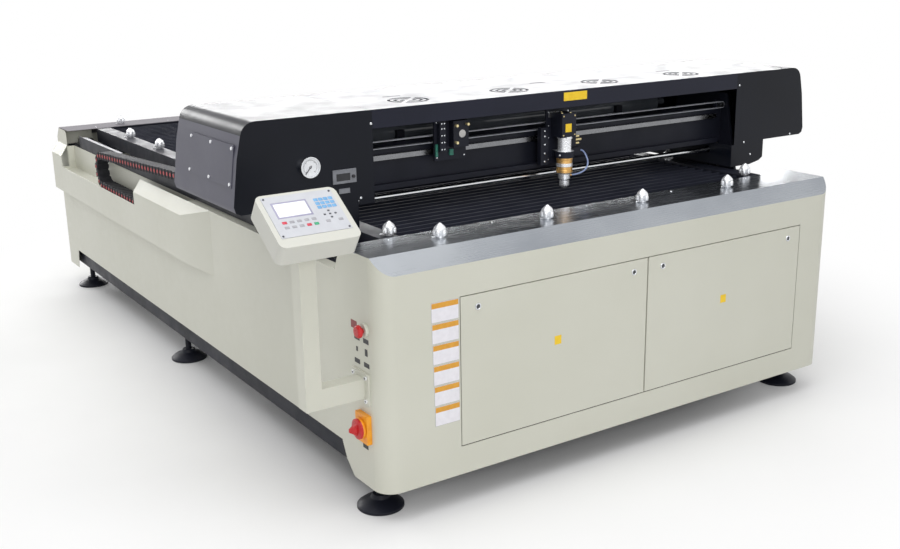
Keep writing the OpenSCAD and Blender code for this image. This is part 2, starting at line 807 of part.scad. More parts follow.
// Shell of one end cover: side walls, front and rear sheets, open towards the window
module end_cover(leg_side = leg_x0) {
    color(black) difference() {
        along_y(gantry_y, gantry_y1) end_outline(0, leg_side);
        along_y(gantry_y + sheet_t, gantry_y1 - sheet_t) end_outline(sheet_t, leg_side);
        block(window_x0 - 1, window_x0 + 2, gantry_y + sheet_t, gantry_y1 - sheet_t,
            cover_z - 6, gantry_top - sheet_t);
        bar_x([leg_x1 - sheet_t - 1, shaft_y, shaft_z], shaft_r + 4, sheet_t + 2);
    }
}

// Left end cover with the bracket that holds the drag chain
module left_cover() {
    difference() {
        end_cover();
        bar_y([gauge_x, gantry_y - 1, gauge_z], 12, sheet_t + 2, 32);
        block(67, 137, gantry_y - 1, gantry_y + sheet_t + 1, table_h + 152, table_h + 186);
        block(leg_x1 - sheet_t - 1, window_x0, beam_y - 1, beam_y + beam_d + 1,
            cover_z - 6, cover_z - 4 + sheet_t);
    }
    color(steel) block(chain_x - chain_w / 2, chain_x + chain_w / 2, anchor_y - 30, anchor_y + 30,
        anchor_z + link_h / 2 + 0.1, cover_z + 1);
}

module right_cover() {
    color(black) difference() {
        translate([body_w, 0, 0]) mirror([1, 0, 0]) end_cover(leg_x0 - leg_flare);
        block(window_x1 - 100, window_x1, gantry_y - 1, gantry_y1 + 1, cover_z - 6, gantry_top + 1);
    }
}

// Long top cover with its visor, rear sheet and four round vents
module top_cover() {
    color(black) {
        difference() {
            block(window_x0, window_x1, gantry_y, gantry_y1, gantry_top - sheet_t, gantry_top);
            for (k = [0 : 3])
                translate([vent_x0 + k * (vent_x1 - vent_x0) / 3, gantry_y + 130, gantry_top - sheet_t - 1])
                    ring_vent();
            for (x = [vent_x0 + 6, mid_x + 64, vent_x1 + 19])
                block(x - 32, x + 32, gantry_y + 238, gantry_y + 250, gantry_top - 1, gantry_top + 1);
        }
        block(window_x0, window_x1, gantry_y, gantry_y + sheet_t, visor_z, gantry_top - sheet_t);
        block(window_x0, window_x1, gantry_y1 - sheet_t, gantry_y1, cover_z - 5, gantry_top - sheet_t);
    }
}

// Three rings of slots, each cut by four spokes
module ring_vent() {
    difference() {
        for (r = [22, 42, 62]) difference() {
            cylinder(r = r + 5, h = sheet_t + 2, $fn = 32);
            translate([0, 0, -1]) cylinder(r = r - 5, h = sheet_t + 4, $fn = 32);
        }
        for (a = [45, 135]) rotate([0, 0, a]) translate([-80, -6, -1]) cube([160, 12, sheet_t + 4]);
    }
}

// Screwed plates on the outer faces of the end covers
module access_covers() {
    face_x = -gantry_out + end_lean * 50 / end_lean_h;
    color(black) both_sides() translate([face_x, gantry_y + 24, cover_z + 76])
        rotate([0, atan(end_lean / end_lean_h), 0]) {
            translate([-2, 0, 0]) cube([2, 326, 122]);
            for (y = [10, 163, 316], z = [10, 112]) bar_x([-5, y, z], 5, 3.5, 16);
        }
}

// Linear rail along the front of the girder
module x_rail() {
    color(steel) difference() {
        block(window_x0 - 20, window_x1 - 8, beam_y - 14, beam_y, x_rail_z - 8, x_rail_z + 8);
        for (side = [-1, 1]) translate([0, beam_y - 7, x_rail_z + side * 8]) rotate([45, 0, 0])
            translate([window_x0 - 21, -1.5, -1.5]) cube([window_w + 14, 3, 3]);
    }
}

// Closed belt for the heads: two straight strands and the turn round each pulley
module x_belt() {
    outer = head_pulley_r + belt_t;
    color([0.75, 0.75, 0.78]) along_y(x_belt_y, x_belt_y + belt_w) translate([0, x_belt_z]) difference() {
        union() {
            translate([x_pulley_x0, -outer]) square([x_pulley_x1 - x_pulley_x0, 2 * outer]);
            for (x = [x_pulley_x0, x_pulley_x1]) translate([x, 0]) circle(outer, $fn = 32);
        }
        translate([x_pulley_x0, -head_pulley_r - 0.1])
            square([x_pulley_x1 - x_pulley_x0, 2 * head_pulley_r + 0.2]);
        for (x = [x_pulley_x0, x_pulley_x1]) translate([x, 0]) circle(head_pulley_r + 0.1, $fn = 32);
    }
}

// Sealed glass tube with a narrower metal end at each side
module laser_tube() {
    x0 = window_x0 + 20;
    l = window_w - 60;
    color([0.8, 0.85, 0.9]) translate([x0, tube_y, tube_z]) rotate([0, 90, 0]) rotate_extrude()
        polygon([[0, 0], [12, 0], [12, 40], [tube_r, 60], [tube_r, l - 60], [12, l - 40], [12, l], [0, l]]);
}

// Two cradles for the tube and the holder of the first mirror, on an angle behind the girder
module tube_mounts() {
    color(black) {
        block(window_x0 - 60, window_x1 - 20, beam_y + beam_d, gantry_y1 - 60, girder_z + 40, girder_z + 46);
        for (x = [window_x0 + 260, window_x1 - 330]) difference() {
            block(x, x + 30, tube_y - 55, tube_y + 55, girder_z + 46, tube_z + 10);
            bar_x([x - 1, tube_y, tube_z], tube_r, 32, 48);
        }
        block(window_x0 - 55, window_x0 - 40, tube_y - 30, tube_y + 30, girder_z + 46, tube_z + 34);
    }
    color(steel) bar_x([window_x0 - 40, tube_y, tube_z], 14, 6, 32);
}

// Pressure gauge: rim, dial and lens in one case, with its tail through the cover
module gauge_case() {
    color(chrome) translate([gauge_x, gantry_y, gauge_z]) rotate([90, 0, 0]) {
        difference() {
            cylinder(r = gauge_r, h = 16);
            translate([0, 0, 11]) cylinder(r = gauge_r - 4, h = 6);
        }
        translate([0, 0, -24]) cylinder(r = 11.5, h = 25);
        translate([0, 0, 10]) cylinder(r = 1.5, h = 4, $fn = 16);
    }
}

// Needle, at rest on the zero of the dial, down to the left
module gauge_needle() {
    zero_turn = 140;
    color("black") translate([gauge_x, gantry_y - 12.6, gauge_z])
        rotate([90, 0, 0]) rotate(zero_turn) difference() {
        union() {
            cylinder(r = 3.4, h = 1, $fn = 16);
            translate([-1, -6, 0]) cube([2, gauge_r + 0.5, 0.8]);
        }
        translate([0, 0, -1]) cylinder(r = 1.55, h = 3, $fn = 16);
    }
}

// Small temperature display set into the left cover
module display_unit() {
    color(black) difference() {
        union() {
            block(63, 141, gantry_y - 5, gantry_y, table_h + 148, table_h + 190);
            block(67.5, 136.5, gantry_y, gantry_y + 40, table_h + 152.5, table_h + 185.5);
        }
        block(74, 120, gantry_y - 6, gantry_y - 3.5, table_h + 156, table_h + 178);
    }
}

// Geared motor of the cross shaft and motor of the head belt
module drive_motors() {
    color(black) {
        difference() {
            block(leg_plate_x - 43, leg_plate_x, shaft_y - 30, shaft_y + 30, shaft_z - 30, shaft_z + 30);
            bar_x([leg_plate_x - 20, shaft_y, shaft_z], shaft_r + 0.05, 25, 48);
        }
        difference() {
            block(x_pulley_x0 - 28, x_pulley_x0 + 28, beam_y + 1, beam_y + 50,
                girder_z + girder_h, x_belt_z + 34);
            bar_y([x_pulley_x0, beam_y, x_belt_z], 4.05, 20);
        }
        difference() {
            block(x_pulley_x1 - 14, x_pulley_x1 + 14, beam_y, beam_y + 12,
                girder_z + girder_h, x_belt_z + 16);
            bar_y([x_pulley_x1, beam_y - 1, x_belt_z], 4.05, 14);
        }
    }
}

// One closed belt path over the drive pulley, with a short flat tail under each idler
module belt_loop_path() {
    r = drive_pulley_r;
    foot = idler_z - idler_r - belt_t;
    translate([shaft_y, shaft_z]) intersection() {
        difference() {
            circle(r + belt_t);
            circle(r + belt_play);
        }
        translate([-r - belt_t, 0]) square([2 * (r + belt_t), r + belt_t]);
    }
    for (s = [0, 1]) translate([shaft_y, 0]) mirror([s, 0]) {
        translate([r + belt_play, idler_z]) square([belt_t - 2 * belt_play, shaft_z - idler_z]);
        translate([idler_dy, idler_z]) intersection() {
            difference() {
                circle(idler_r + belt_t - 0.1);
                circle(idler_r + belt_play);
            }
            translate([-idler_r - belt_t, -idler_r - belt_t]) square([idler_r + belt_t, idler_r + belt_t]);
        }
        translate([idler_dy, foot + 0.1]) square([12, belt_t - belt_play - 0.1]);
    }
}

module belt_loops() {
    color(black) both_sides() along_x(belt_x, belt_x + belt_w) belt_loop_path();
}

// Polished shaft across the gantry with a toothed pulley near each end
module cross_shaft() {
    teeth = 20;
    color(chrome) {
        bar_x([leg_plate_x - 18, shaft_y, shaft_z], shaft_r, body_w - 2 * (leg_plate_x - 18), 48);
        both_sides() translate([belt_x - 3, shaft_y, shaft_z]) rotate([0, 90, 0]) difference() {
            cylinder(r = drive_pulley_r, h = belt_w + 6);
            translate([0, 0, -1]) cylinder(r = shaft_r - 0.1, h = belt_w + 8);
            for (k = [0 : teeth - 1]) rotate([0, 0, k * 360 / teeth])
                translate([drive_pulley_r - 1.5, -1.5, -1]) cube([4, 3, belt_w + 8]);
        }
    }
}

// Idler roller on its pin, one at each side of each drive pulley
module idler(right, s) {
    color(steel) translate([right ? body_w : 0, 0, 0]) mirror([right ? 1 : 0, 0, 0]) {
        bar_x([belt_x - 3, shaft_y + s * idler_dy, idler_z], idler_r, belt_w + 4, 32);
        bar_x([leg_plate_x - 2, shaft_y + s * idler_dy, idler_z], 4, belt_x - leg_plate_x, 24);
    }
}
module idler_1() { idler(false, -1); }
module idler_2() { idler(false, 1); }
module idler_3() { idler(true, -1); }
module idler_4() { idler(true, 1); }

// Toothed pulley of the head belt on its spindle
module x_pulley(x, tail) {
    teeth = 14;
    color(steel) translate([x, x_belt_y - 2, x_belt_z]) rotate([-90, 0, 0]) {
        difference() {
            cylinder(r = head_pulley_r, h = belt_w + 4);
            for (k = [0 : teeth - 1]) rotate([0, 0, k * 360 / teeth])
                translate([head_pulley_r - 1, -1, -1]) cube([3, 2, belt_w + 6]);
        }
        cylinder(r = 4, h = belt_w + tail, $fn = 24);
    }
}
module x_pulley_left() { x_pulley(x_pulley_x0, 18); }
module x_pulley_right() { x_pulley(x_pulley_x1, 14); }

// Block on the head rail, its plate and the clamp that holds the belt
module carriage(x, w, z0, z1) {
    difference() {
        block(x - 33, x + 33, plate_y, beam_y - 3, x_rail_z - 22, x_rail_z + 22);
        block(x - 34, x + 34, beam_y - 14.4, beam_y - 2, x_rail_z - 8.4, x_rail_z + 8.4);
    }
    block(x - w / 2, x + w / 2, plate_front, plate_y, z0, z1);
    block(x - 22, x + 22, plate_y, x_belt_y + belt_w, x_belt_z + head_pulley_r + belt_t + 0.2,
        x_belt_z + head_pulley_r + belt_t + 8);
    block(x - 22, x + 22, plate_y, x_belt_y + belt_w, x_belt_z + 2, x_belt_z + head_pulley_r - 0.4);
}

// Carriage of the cutting head, with a side bracket on the left and the hose bracket on the right
module head_carriage() {
    color(black) {
        carriage(head_x, 100, table_h + 105, table_h + 290);
        block(head_x - 82, head_x - 50, plate_y - 20, plate_y, table_h + 105, table_h + 232);
        block(head_x + 50, head_x + hose_out, plate_y - 20, plate_y, nozzle_z + 100, nozzle_z + 126);
    }
}

// Body of the cutting head: mirror block, focus collar and the sleeve of the lens tube
module laser_head() {
    z0 = nozzle_z + 104;
    color(black) {
        difference() {
            translate([head_x, head_y, z0]) cylinder(r = lens_tube_r + 4, h = 22);
            translate([head_x, head_y, z0 - 1]) cylinder(r = sleeve_r + 1, h = 24);
        }
        block(head_x - 24, head_x + 24, head_y + lens_tube_r - 2, plate_front, z0, z0 + 22);
        block(head_x - 30, head_x + 30, gantry_y - 1, plate_front, z0 + 70, z0 + 150);
        block(head_x + 30, head_x + 62, plate_front - 22, plate_front - 6, z0 + 30, z0 + 96);
        block(head_x + 30, head_x + 62, plate_front - 6, plate_front, z0 + 56, z0 + 96);
    }
    color(chrome) difference() {
        union() {
            translate([head_x, head_y, z0 + 22]) cylinder(r = 23, h = 50);
            translate([head_x, head_y, z0 + 64]) cylinder(r = 26, h = 8);
        }
        translate([head_x, head_y, z0 - 1]) cylinder(r = sleeve_r + 0.08, h = 50);
    }
    color([0.8, 0.65, 0.3]) for (p = [[18, 38], [28, 50], [18, 62]])
        bar_x([head_x + 62, plate_front - 14, z0 + p[1]], 4, p[0], 16);
}

// Lens tube with two brass bands, the clamp ring and the nozzle, sliding up and down for focus
module lens_tube() {
    color(chrome) translate([head_x, head_y, nozzle_z]) difference() {
        rotate_extrude() polygon([[0, 0], [8, 0], [16, 7], [17, 9], [17, 24], [11, 27], [11, 31],
            [20, 31], [20, 47],
            [24, 49], [lens_tube_r, 53], [lens_tube_r, 62], [lens_tube_r - 1, 63], [lens_tube_r - 1, 73],
            [lens_tube_r, 74], [lens_tube_r, 84], [lens_tube_r - 1, 85], [lens_tube_r - 1, 97],
            [lens_tube_r, 98], [lens_tube_r, 103], [sleeve_r, 103], [sleeve_r, 138], [0, 138]]);
        translate([0, 0, -1]) cylinder(r = 3, h = 12, $fn = 24);
    }
    color(steel) bar_x([head_x + 18, head_y, nozzle_z + 39], 4, 12, 16);
}

// Air hose from its bracket on the carriage round to the fitting of the clamp ring
module air_hose() {
    out = hose_out;
    start_y = plate_y - 10 - head_y;
    path = [[out, start_y, 113], [out + 6, start_y, 113], [out + 16, start_y - 2, 110],
        [out + 23, start_y - 6, 100],
        [out + 26, start_y - 12, 87], [out + 23, 13, 72], [out + 14, 7, 58], [out, 3, 48], [out - 18, 1, 42],
        [52, 0, 39.5], [38, 0, 39], [30, 0, 39]];
    color([0.3, 0.45, 0.85]) tube_along([for (p = path) [head_x, head_y, nozzle_z] + p], hose_r, 8);
}
function unit(v) = v / norm(v);
function heading(p, i) = unit(p[min(i + 1, len(p) - 1)] - p[max(i - 1, 0)]);
function ring_at(p, d, r, n) = let (side = unit(cross(d, [0.2, 1, 0.1])), up = cross(side, d))
    [for (k = [0 : n - 1]) p + r * (cos(k * 360 / n) * side + sin(k * 360 / n) * up)];
module tube_along(p, r, n) {
    rings = len(p);
    polyhedron(points = [for (i = [0 : rings - 1]) each ring_at(p[i], heading(p, i), r, n)],
        faces = concat([[for (k = [0 : n - 1]) k]],
            [for (i = [0 : rings - 2], k = [0 : n - 1]) let (a = i * n + k, b = i * n + (k + 1) % n)
                each [[a, a + n, b + n], [a, b + n, b]]],
            [[for (k = [0 : n - 1]) rings * n - 1 - k]]));
}

// Second carriage with a mirror in its adjustable holder
module mirror_carriage() {
    x = head_x - head_gap;
    color(black) {
        carriage(x, 120, table_h + 165, table_h + 294);
        block(x - 50, x - 28, plate_front - 18, plate_front, table_h + 196, table_h + 292);
        difference() {
            block(x - 4, x + 54, plate_front - 26, plate_front, table_h + 206, table_h + 290);
            bar_y([x + 30, plate_front - 27, table_h + 248], 13, 6, 32);
        }
    }
    color(steel) {
        for (p = [[4, 276], [46, 278], [4, 222]])
            bar_y([x + p[0], plate_front - 38, table_h + p[1]], 4.5, 13, 16);
        bar_y([x + 30, plate_front - 26, table_h + 248], 12.9, 5, 32);
    }
}

// Everything is drawn from the left front corner of the body and set on the origin here
module placed() {
    translate(-origin) children();
}

placed() chassis();
placed() levelling_feet();
placed() side_beams();
placed() y_rails();
placed() y_belts();
placed() side_panel_left();
placed() side_panel_right();
placed() chain_trough();
placed() chain_lower();
placed() front_cabinet();
placed() rear_cabinet();
placed() front_table();
placed() rear_table();
placed() bed_frame();
placed() bed_blades();
placed() bed_clamps();
placed() bay_bulkhead();
placed() drive_electrics();
placed() control_arm();
placed() control_box();
placed() keypad_panel();
placed() switch_bases();
placed() door_left();
placed() door_right();
placed() cam_lock(lock_xs[0]);  // lock_1
placed() cam_lock(lock_xs[1]);  // lock_2
placed() cam_lock(lock_xs[2]);  // lock_3
placed() cam_lock(lock_xs[3]);  // lock_4
placed() estop_button();
placed() main_switch();
placed() gantry_beam();
placed() gantry_legs();
placed() left_cover();
placed() right_cover();
placed() top_cover();
placed() access_covers();
placed() x_rail();
placed() x_belt();
placed() laser_tube();
placed() tube_mounts();
placed() gauge_case();
placed() display_unit();
placed() drive_motors();
placed() chain_upper();
placed() belt_loops();
placed() cross_shaft();
placed() idler_1();
placed() idler_2();
placed() idler_3();
placed() idler_4();
placed() x_pulley_left();
placed() x_pulley_right();
placed() head_carriage();
placed() laser_head();
placed() lens_tube();
placed() air_hose();
placed() mirror_carriage();
placed() gauge_needle();
placed() chain_bend();
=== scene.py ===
import math
import bpy
from mathutils import Matrix, Vector


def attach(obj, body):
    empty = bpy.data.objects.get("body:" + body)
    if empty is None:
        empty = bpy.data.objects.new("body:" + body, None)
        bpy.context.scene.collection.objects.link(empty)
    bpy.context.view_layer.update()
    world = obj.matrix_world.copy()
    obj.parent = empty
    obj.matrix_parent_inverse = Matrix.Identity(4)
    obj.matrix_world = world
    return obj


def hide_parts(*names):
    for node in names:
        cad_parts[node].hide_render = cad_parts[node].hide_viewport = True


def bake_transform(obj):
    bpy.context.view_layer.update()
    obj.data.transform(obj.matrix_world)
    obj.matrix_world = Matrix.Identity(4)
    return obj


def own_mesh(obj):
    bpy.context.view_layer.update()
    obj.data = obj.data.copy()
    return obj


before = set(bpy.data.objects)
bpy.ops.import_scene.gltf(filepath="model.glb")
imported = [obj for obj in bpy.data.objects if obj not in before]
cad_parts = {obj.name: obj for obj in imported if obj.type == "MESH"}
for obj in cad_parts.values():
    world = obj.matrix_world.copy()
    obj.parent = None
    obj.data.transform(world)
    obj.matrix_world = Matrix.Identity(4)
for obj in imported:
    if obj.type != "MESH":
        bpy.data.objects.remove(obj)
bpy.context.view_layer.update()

# The camera stands in front of the machine's left end, higher than the gantry, and looks down along
# the table. Its lens is 44.5 mm on a 36 mm sensor, held a little off level.
azimuth, pitch, roll = (math.radians(angle) for angle in (33.334, 15.990, -0.916))
ahead = Vector((math.sin(azimuth) * math.cos(pitch), math.cos(azimuth) * math.cos(pitch), -math.sin(pitch)))
level_right = ahead.cross(Vector((0, 0, 1))).normalized()
level_up = level_right.cross(ahead)
tilted_right = math.cos(roll) * level_right + math.sin(roll) * level_up
tilted_up = math.cos(roll) * level_up - math.sin(roll) * level_right
camera_place = (-2.357, -4.16423, 1.597)
bpy.ops.object.camera_add(location=camera_place)
camera = bpy.context.object
camera.name = "camera"
camera.data.sensor_width, camera.data.lens, camera.data.clip_end = 36, 44.46, 80
camera.rotation_euler = Matrix((tilted_right, tilted_up, -ahead)).transposed().to_euler()
bpy.context.scene.camera = camera


# The air hose is a thin blue tube of soft plastic. It leaves a bracket on the head's carriage, hangs out
# in a loop beside the lens tube and is pushed on the brass fitting under it.
origin_x, origin_y = 931, 1635.232


def at(x, y, z):
    """A point in millimetres from the body's left front corner at the floor, in metres in the part's frame."""
    return Vector(((x - origin_x) / 1000, (y - origin_y) / 1000, z / 1000))


def srgb(red, green, blue):
    """A colour as it is seen, 0 to 255, as the shader's linear colour."""
    levels = (level / 255 for level in (red, green, blue))
    return tuple(c / 12.92 if c < 0.04045 else ((c + 0.055) / 1.055) ** 2.4 for c in levels) + (1.0,)


class Wire:
    """A socket in a material's tree that takes part in sums."""
    tree = None

    def __init__(self, socket):
        self.socket = socket

    @staticmethod
    def node(kind, settings=(), sockets=(), out=0):
        made = Wire.tree.nodes.new("ShaderNode" + kind)
        for name, value in dict(settings).items():
            setattr(made, name, value)
        for key, value in dict(sockets).items():
            if isinstance(value, Wire):
                Wire.tree.links.new(value.socket, made.inputs[key])
            else:
                made.inputs[key].default_value = value
        return Wire(made.outputs[out])

    @staticmethod
    def maths(operation, *values):
        return Wire.node("Math", {"operation": operation}, dict(enumerate(values)))

    def __add__(self, other):
        return Wire.maths("ADD", self, other)

    def __mul__(self, other):
        return Wire.maths("MULTIPLY", self, other)

    __radd__, __rmul__ = __add__, __mul__


def grain(scale, stretch=(1, 1, 1), detail=3):
    """Noise of about scale spots to the metre, drawn out along an axis where its stretch is small."""
    place = Wire.node("TexCoord", out="Object")
    place = Wire.node("Mapping", (), {"Vector": place, "Scale": stretch})
    return Wire.node("TexNoise", (), {"Vector": place, "Scale": scale, "Detail": detail})


def between(mask, low, high):
    """A value that runs from low to high with a mask of noise, which keeps near 0.5."""
    return Wire.node("MapRange", (), {0: mask, 1: 0.3, 2: 0.7, 3: low, 4: high})


def mixed(mask, first, second):
    """Two colours mixed by a mask."""
    return Wire.node("Mix", {"data_type": "RGBA"}, {0: mask, 6: first, 7: second}, 2)


def surface(name, varied, **steady):
    """A material: varied() gives the sockets that change over the surface, and steady ones are set as they are.
    Bump is given as (height, depth in metres)."""
    material = bpy.data.materials.new(name)
    material.use_nodes = True
    Wire.tree = material.node_tree
    Wire.tree.nodes.clear()
    sockets = {key.replace("_", " "): value for key, value in steady.items()} | varied()
    if "Bump" in sockets:
        height, depth = sockets.pop("Bump")
        sockets["Normal"] = Wire.node("Bump", (), {"Height": height, "Distance": depth})
    shader = Wire.node("BsdfPrincipled", (), sockets)
    shown = Wire.tree.nodes.new("ShaderNodeOutputMaterial")
    Wire.tree.links.new(shader.socket, shown.inputs["Surface"])
    return material


def pick(obj):
    """Only this object is selected and active, in object mode."""
    if bpy.context.object and bpy.context.object.mode != "OBJECT":
        bpy.ops.object.mode_set(mode="OBJECT")
    bpy.ops.object.select_all(action="DESELECT")
    obj.select_set(True)
    bpy.context.view_layer.objects.active = obj
    return obj


def settle(obj, name, material, body, replaced=(), angle=35):
    """Places are put in the mesh, and the piece gets its name, finish and body."""
    pick(obj)
    bpy.ops.object.transform_apply(location=True, rotation=True, scale=True)
    obj.name = name
    if material:
        obj.data.materials.clear()
        obj.data.materials.append(material)
    bpy.ops.object.shade_smooth_by_angle(angle=math.radians(angle))
    if body:
        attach(obj, body)
    if replaced:
        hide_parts(*replaced)
    return obj


def hose_finish():
    cloud = grain(60)
    return {"Base Color": mixed(between(cloud, 0, 1), srgb(136, 154, 200), srgb(160, 178, 220)),
            "Roughness": between(grain(200), 0.28, 0.4), "Bump": (grain(900), 0.00005)}


hose_blue = surface("hose_blue_plastic", hose_finish, Coat_Weight=0.3, Alpha=1.0)
hose_radius = 0.003
head_x, head_y, nozzle_z = 960, 379, 830
hose_route = [at(head_x + x, head_y + y, nozzle_z + z) for x, y, z in (
    (92, 35, 113), (98, 35, 113), (108, 33, 110), (115, 29, 100), (118, 23, 87), (115, 13, 72),
    (106, 7, 58), (92, 3, 48), (74, 1, 42), (52, 0, 39.5), (38, 0, 39), (30, 0, 39))]
curve = bpy.data.curves.new("air_hose_line", "CURVE")
curve.dimensions, curve.bevel_depth, curve.bevel_resolution, curve.resolution_u = "3D", hose_radius, 3, 3
curve.use_fill_caps = True
line = curve.splines.new("BEZIER")
line.bezier_points.add(len(hose_route) - 1)
for knot, point in zip(line.bezier_points, hose_route):
    knot.co = point
    knot.handle_left_type = knot.handle_right_type = "AUTO"
bent = bpy.data.objects.new("air_hose_line", curve)
bpy.context.collection.objects.link(bent)
pick(bent)
curve.bevel_depth = 0
centre = bent.to_mesh()
bent.to_mesh_clear()
curve.bevel_depth = hose_radius
bpy.ops.object.convert(target="MESH")
hose = settle(bpy.context.object, "air_hose_tube", hose_blue, None, ("air_hose",), 60)
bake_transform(hose)


# The body is folded sheet steel with an ivory powder coat: a front cabinet with round corners, a rear
# cabinet, flat side panels and the bulged trough of the drag chain. The coat has a fine orange peel.
def powder_coat():
    patches, peel = grain(2.2), grain(420, detail=2)
    return {"Base Color": mixed(between(patches, 0, 1), srgb(203, 203, 190), srgb(208, 208, 196)),
            "Roughness": between(grain(30), 0.34, 0.44), "Bump": (peel, 0.00012)}


ivory = surface("ivory_powder_coat", powder_coat, Specular_IOR_Level=0.35)


def dress(node, name, material, body, bevel=0.0008, steps=2):
    """A copy of a solid with its points merged and its flats made whole, and its edges broken by a small bevel."""
    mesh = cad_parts[node].data.copy()
    copy = bpy.data.objects.new(name, mesh)
    bpy.context.collection.objects.link(copy)
    mesh.materials.clear()
    pick(copy)
    bpy.ops.object.mode_set(mode="EDIT")
    bpy.ops.mesh.select_all(action="SELECT")
    bpy.ops.mesh.remove_doubles(threshold=0.00002)
    bpy.ops.mesh.dissolve_limited(angle_limit=math.radians(0.6))
    bpy.ops.object.mode_set(mode="OBJECT")
    if bevel:
        edge = copy.modifiers.new("broken_edges", "BEVEL")
        edge.width, edge.segments = bevel, steps
        edge.limit_method, edge.angle_limit = "ANGLE", math.radians(30)
        edge.use_clamp_overlap = True
        bpy.ops.object.modifier_apply(modifier=edge.name)
    settle(copy, name, material, body, (node,), 40)
    even = copy.modifiers.new("even_shading", "WEIGHTED_NORMAL")
    even.keep_sharp, even.weight = True, 80
    bpy.ops.object.modifier_apply(modifier=even.name)
    return copy


def repaint(obj, material, chosen):
    """Faces whose middle passes the test get another finish. The middle is in millimetres from the body's corner."""
    obj.data.materials.append(material)
    corner = at(0, 0, 0)
    for face in obj.data.polygons:
        x, y, z = (face.center - corner) * 1000
        if chosen(x, y, z):
            face.material_index = len(obj.data.materials) - 1


front_shell = dress("front_cabinet", "front_cabinet_shell", ivory, "frame", 0.001)
rear_shell = dress("rear_cabinet", "rear_cabinet_shell", ivory, "frame", 0.001)
dress("side_panel_left", "left_side_panel", ivory, "frame", 0.0008)
dress("side_panel_right", "right_side_panel", ivory, "frame", 0.0008)
dress("chain_trough", "left_trough", ivory, "frame", 0.0008)

# Two long service doors stand in the front cabinet, hinged along their lower edges. They are pans of the
# same coated sheet, with small folded edges.
for side in ("left", "right"):
    dress(f"door_{side}", f"service_door_{side}", ivory, f"door_{side}", 0.0012)


# Four chrome plated cam locks hold the doors, two in each. A round barrel with a bevelled rim and a key
# slot goes through the sheet, and a flat cam sits behind it.
def drawn(points):
    """A line of points drawn by extruding one point. Points are Vectors in metres."""
    bpy.ops.object.select_all(action="DESELECT")
    bpy.ops.mesh.primitive_plane_add(size=0.001, location=points[0])
    obj = bpy.context.object
    bpy.ops.object.mode_set(mode="EDIT")
    bpy.ops.mesh.select_all(action="SELECT")
    bpy.ops.mesh.merge(type="CENTER")
    for before, after in zip(points, points[1:]):
        bpy.ops.mesh.extrude_vertices_move(TRANSFORM_OT_translate={"value": after - before})
    bpy.ops.object.mode_set(mode="OBJECT")
    return obj


def turned(profile, place, axis=(0, 0, 1), steps=24):
    """A turned piece: a half profile of (radius, height) in millimetres, spun about an axis through a place."""
    axis = Vector(axis).normalized()
    out = axis.orthogonal().normalized()
    points = [place + (out * r + axis * h) / 1000 for r, h in profile]
    obj = drawn(points)
    bpy.ops.object.mode_set(mode="EDIT")
    bpy.ops.mesh.select_all(action="SELECT")
    bpy.ops.mesh.spin(steps=steps, angle=math.tau, center=place, axis=axis)
    bpy.ops.mesh.select_all(action="SELECT")
    bpy.ops.mesh.remove_doubles(threshold=0.000005)
    bpy.ops.mesh.normals_make_consistent(inside=False)
    bpy.ops.object.mode_set(mode="OBJECT")
    return obj


def slab(low, high, bevel=0.8, steps=2):
    """A block between two corners in millimetres, its edges bevelled in edit mode."""
    low, high = at(*low), at(*high)
    bpy.ops.object.select_all(action="DESELECT")
    bpy.ops.mesh.primitive_cube_add(size=1, location=(low + high) / 2)
    obj = bpy.context.object
    obj.scale = high - low
    bpy.ops.object.transform_apply(location=True, rotation=True, scale=True)
    bpy.ops.object.mode_set(mode="EDIT")
    bpy.ops.mesh.select_all(action="SELECT")
    bpy.ops.mesh.bevel(offset=bevel / 1000, segments=steps, affect="EDGES")
    bpy.ops.object.mode_set(mode="OBJECT")
    return obj


def join(first, *others):
    """Several meshes made one."""
    pick(first)
    for other in others:
        other.select_set(True)
    bpy.ops.object.join()
    return first


def plating():
    smear = grain(140)
    return {"Base Color": mixed(between(smear, 0, 1), srgb(205, 208, 212), srgb(228, 230, 232)),
            "Roughness": between(grain(320), 0.1, 0.22), "Bump": (grain(260), 0.00004)}


chrome = surface("chrome_plate", plating, Metallic=1.0)


def core_finish():
    return {"Base Color": mixed(between(grain(200), 0, 1), srgb(62, 64, 66), srgb(92, 94, 97)),
            "Roughness": between(grain(300), 0.3, 0.45), "Bump": (grain(800), 0.00003)}


core_grey = surface("lock_core_grey", core_finish, Metallic=0.8)
lock_z, lock_xs = 617, (333, 941, 1067, 1672)
for number, x in enumerate(lock_xs, 1):
    barrel = turned([(0, 18), (8.8, 18), (8.8, 0), (10.6, 0), (11, -0.8), (10.4, -2.2), (8.6, -3), (7.4, -3),
                     (6.6, -2), (0, -2)], at(x, 0, lock_z), (0, 1, 0), 28)
    slot_cut = slab((x - 1.2, -2.6, lock_z - 4.5), (x + 1.2, -1.6, lock_z + 4.5), 0.3, 1)
    cam = slab((x - 8, 18, lock_z - 8), (x + 54, 21, lock_z + 8), 1.2)
    lock = settle(join(barrel, slot_cut, cam), f"cam_lock_{number}", chrome, f"lock_{number}",
                  (f"lock_{number}",))
    repaint(lock, core_grey, lambda px, py, pz: py < -1.4 and math.hypot(px - x, pz - lock_z) < 6.8)


# The table's two end plates are stainless sheet, brushed from side to side and bent down at the outer
# edge. The rear one is duller, the cabinets' folds under them have the same finish, and small screws hold
# them.
def brushed():
    lines = grain(900, (0.012, 1, 1), 4)
    smears = grain(3, (0.6, 1, 1), 4)
    return {"Base Color": mixed(between(smears, 0, 1), srgb(150, 155, 162), srgb(178, 182, 187)),
            "Roughness": between(smears, 0.2, 0.3) + between(lines, -0.02, 0.05), "Bump": (lines, 0.00003)}


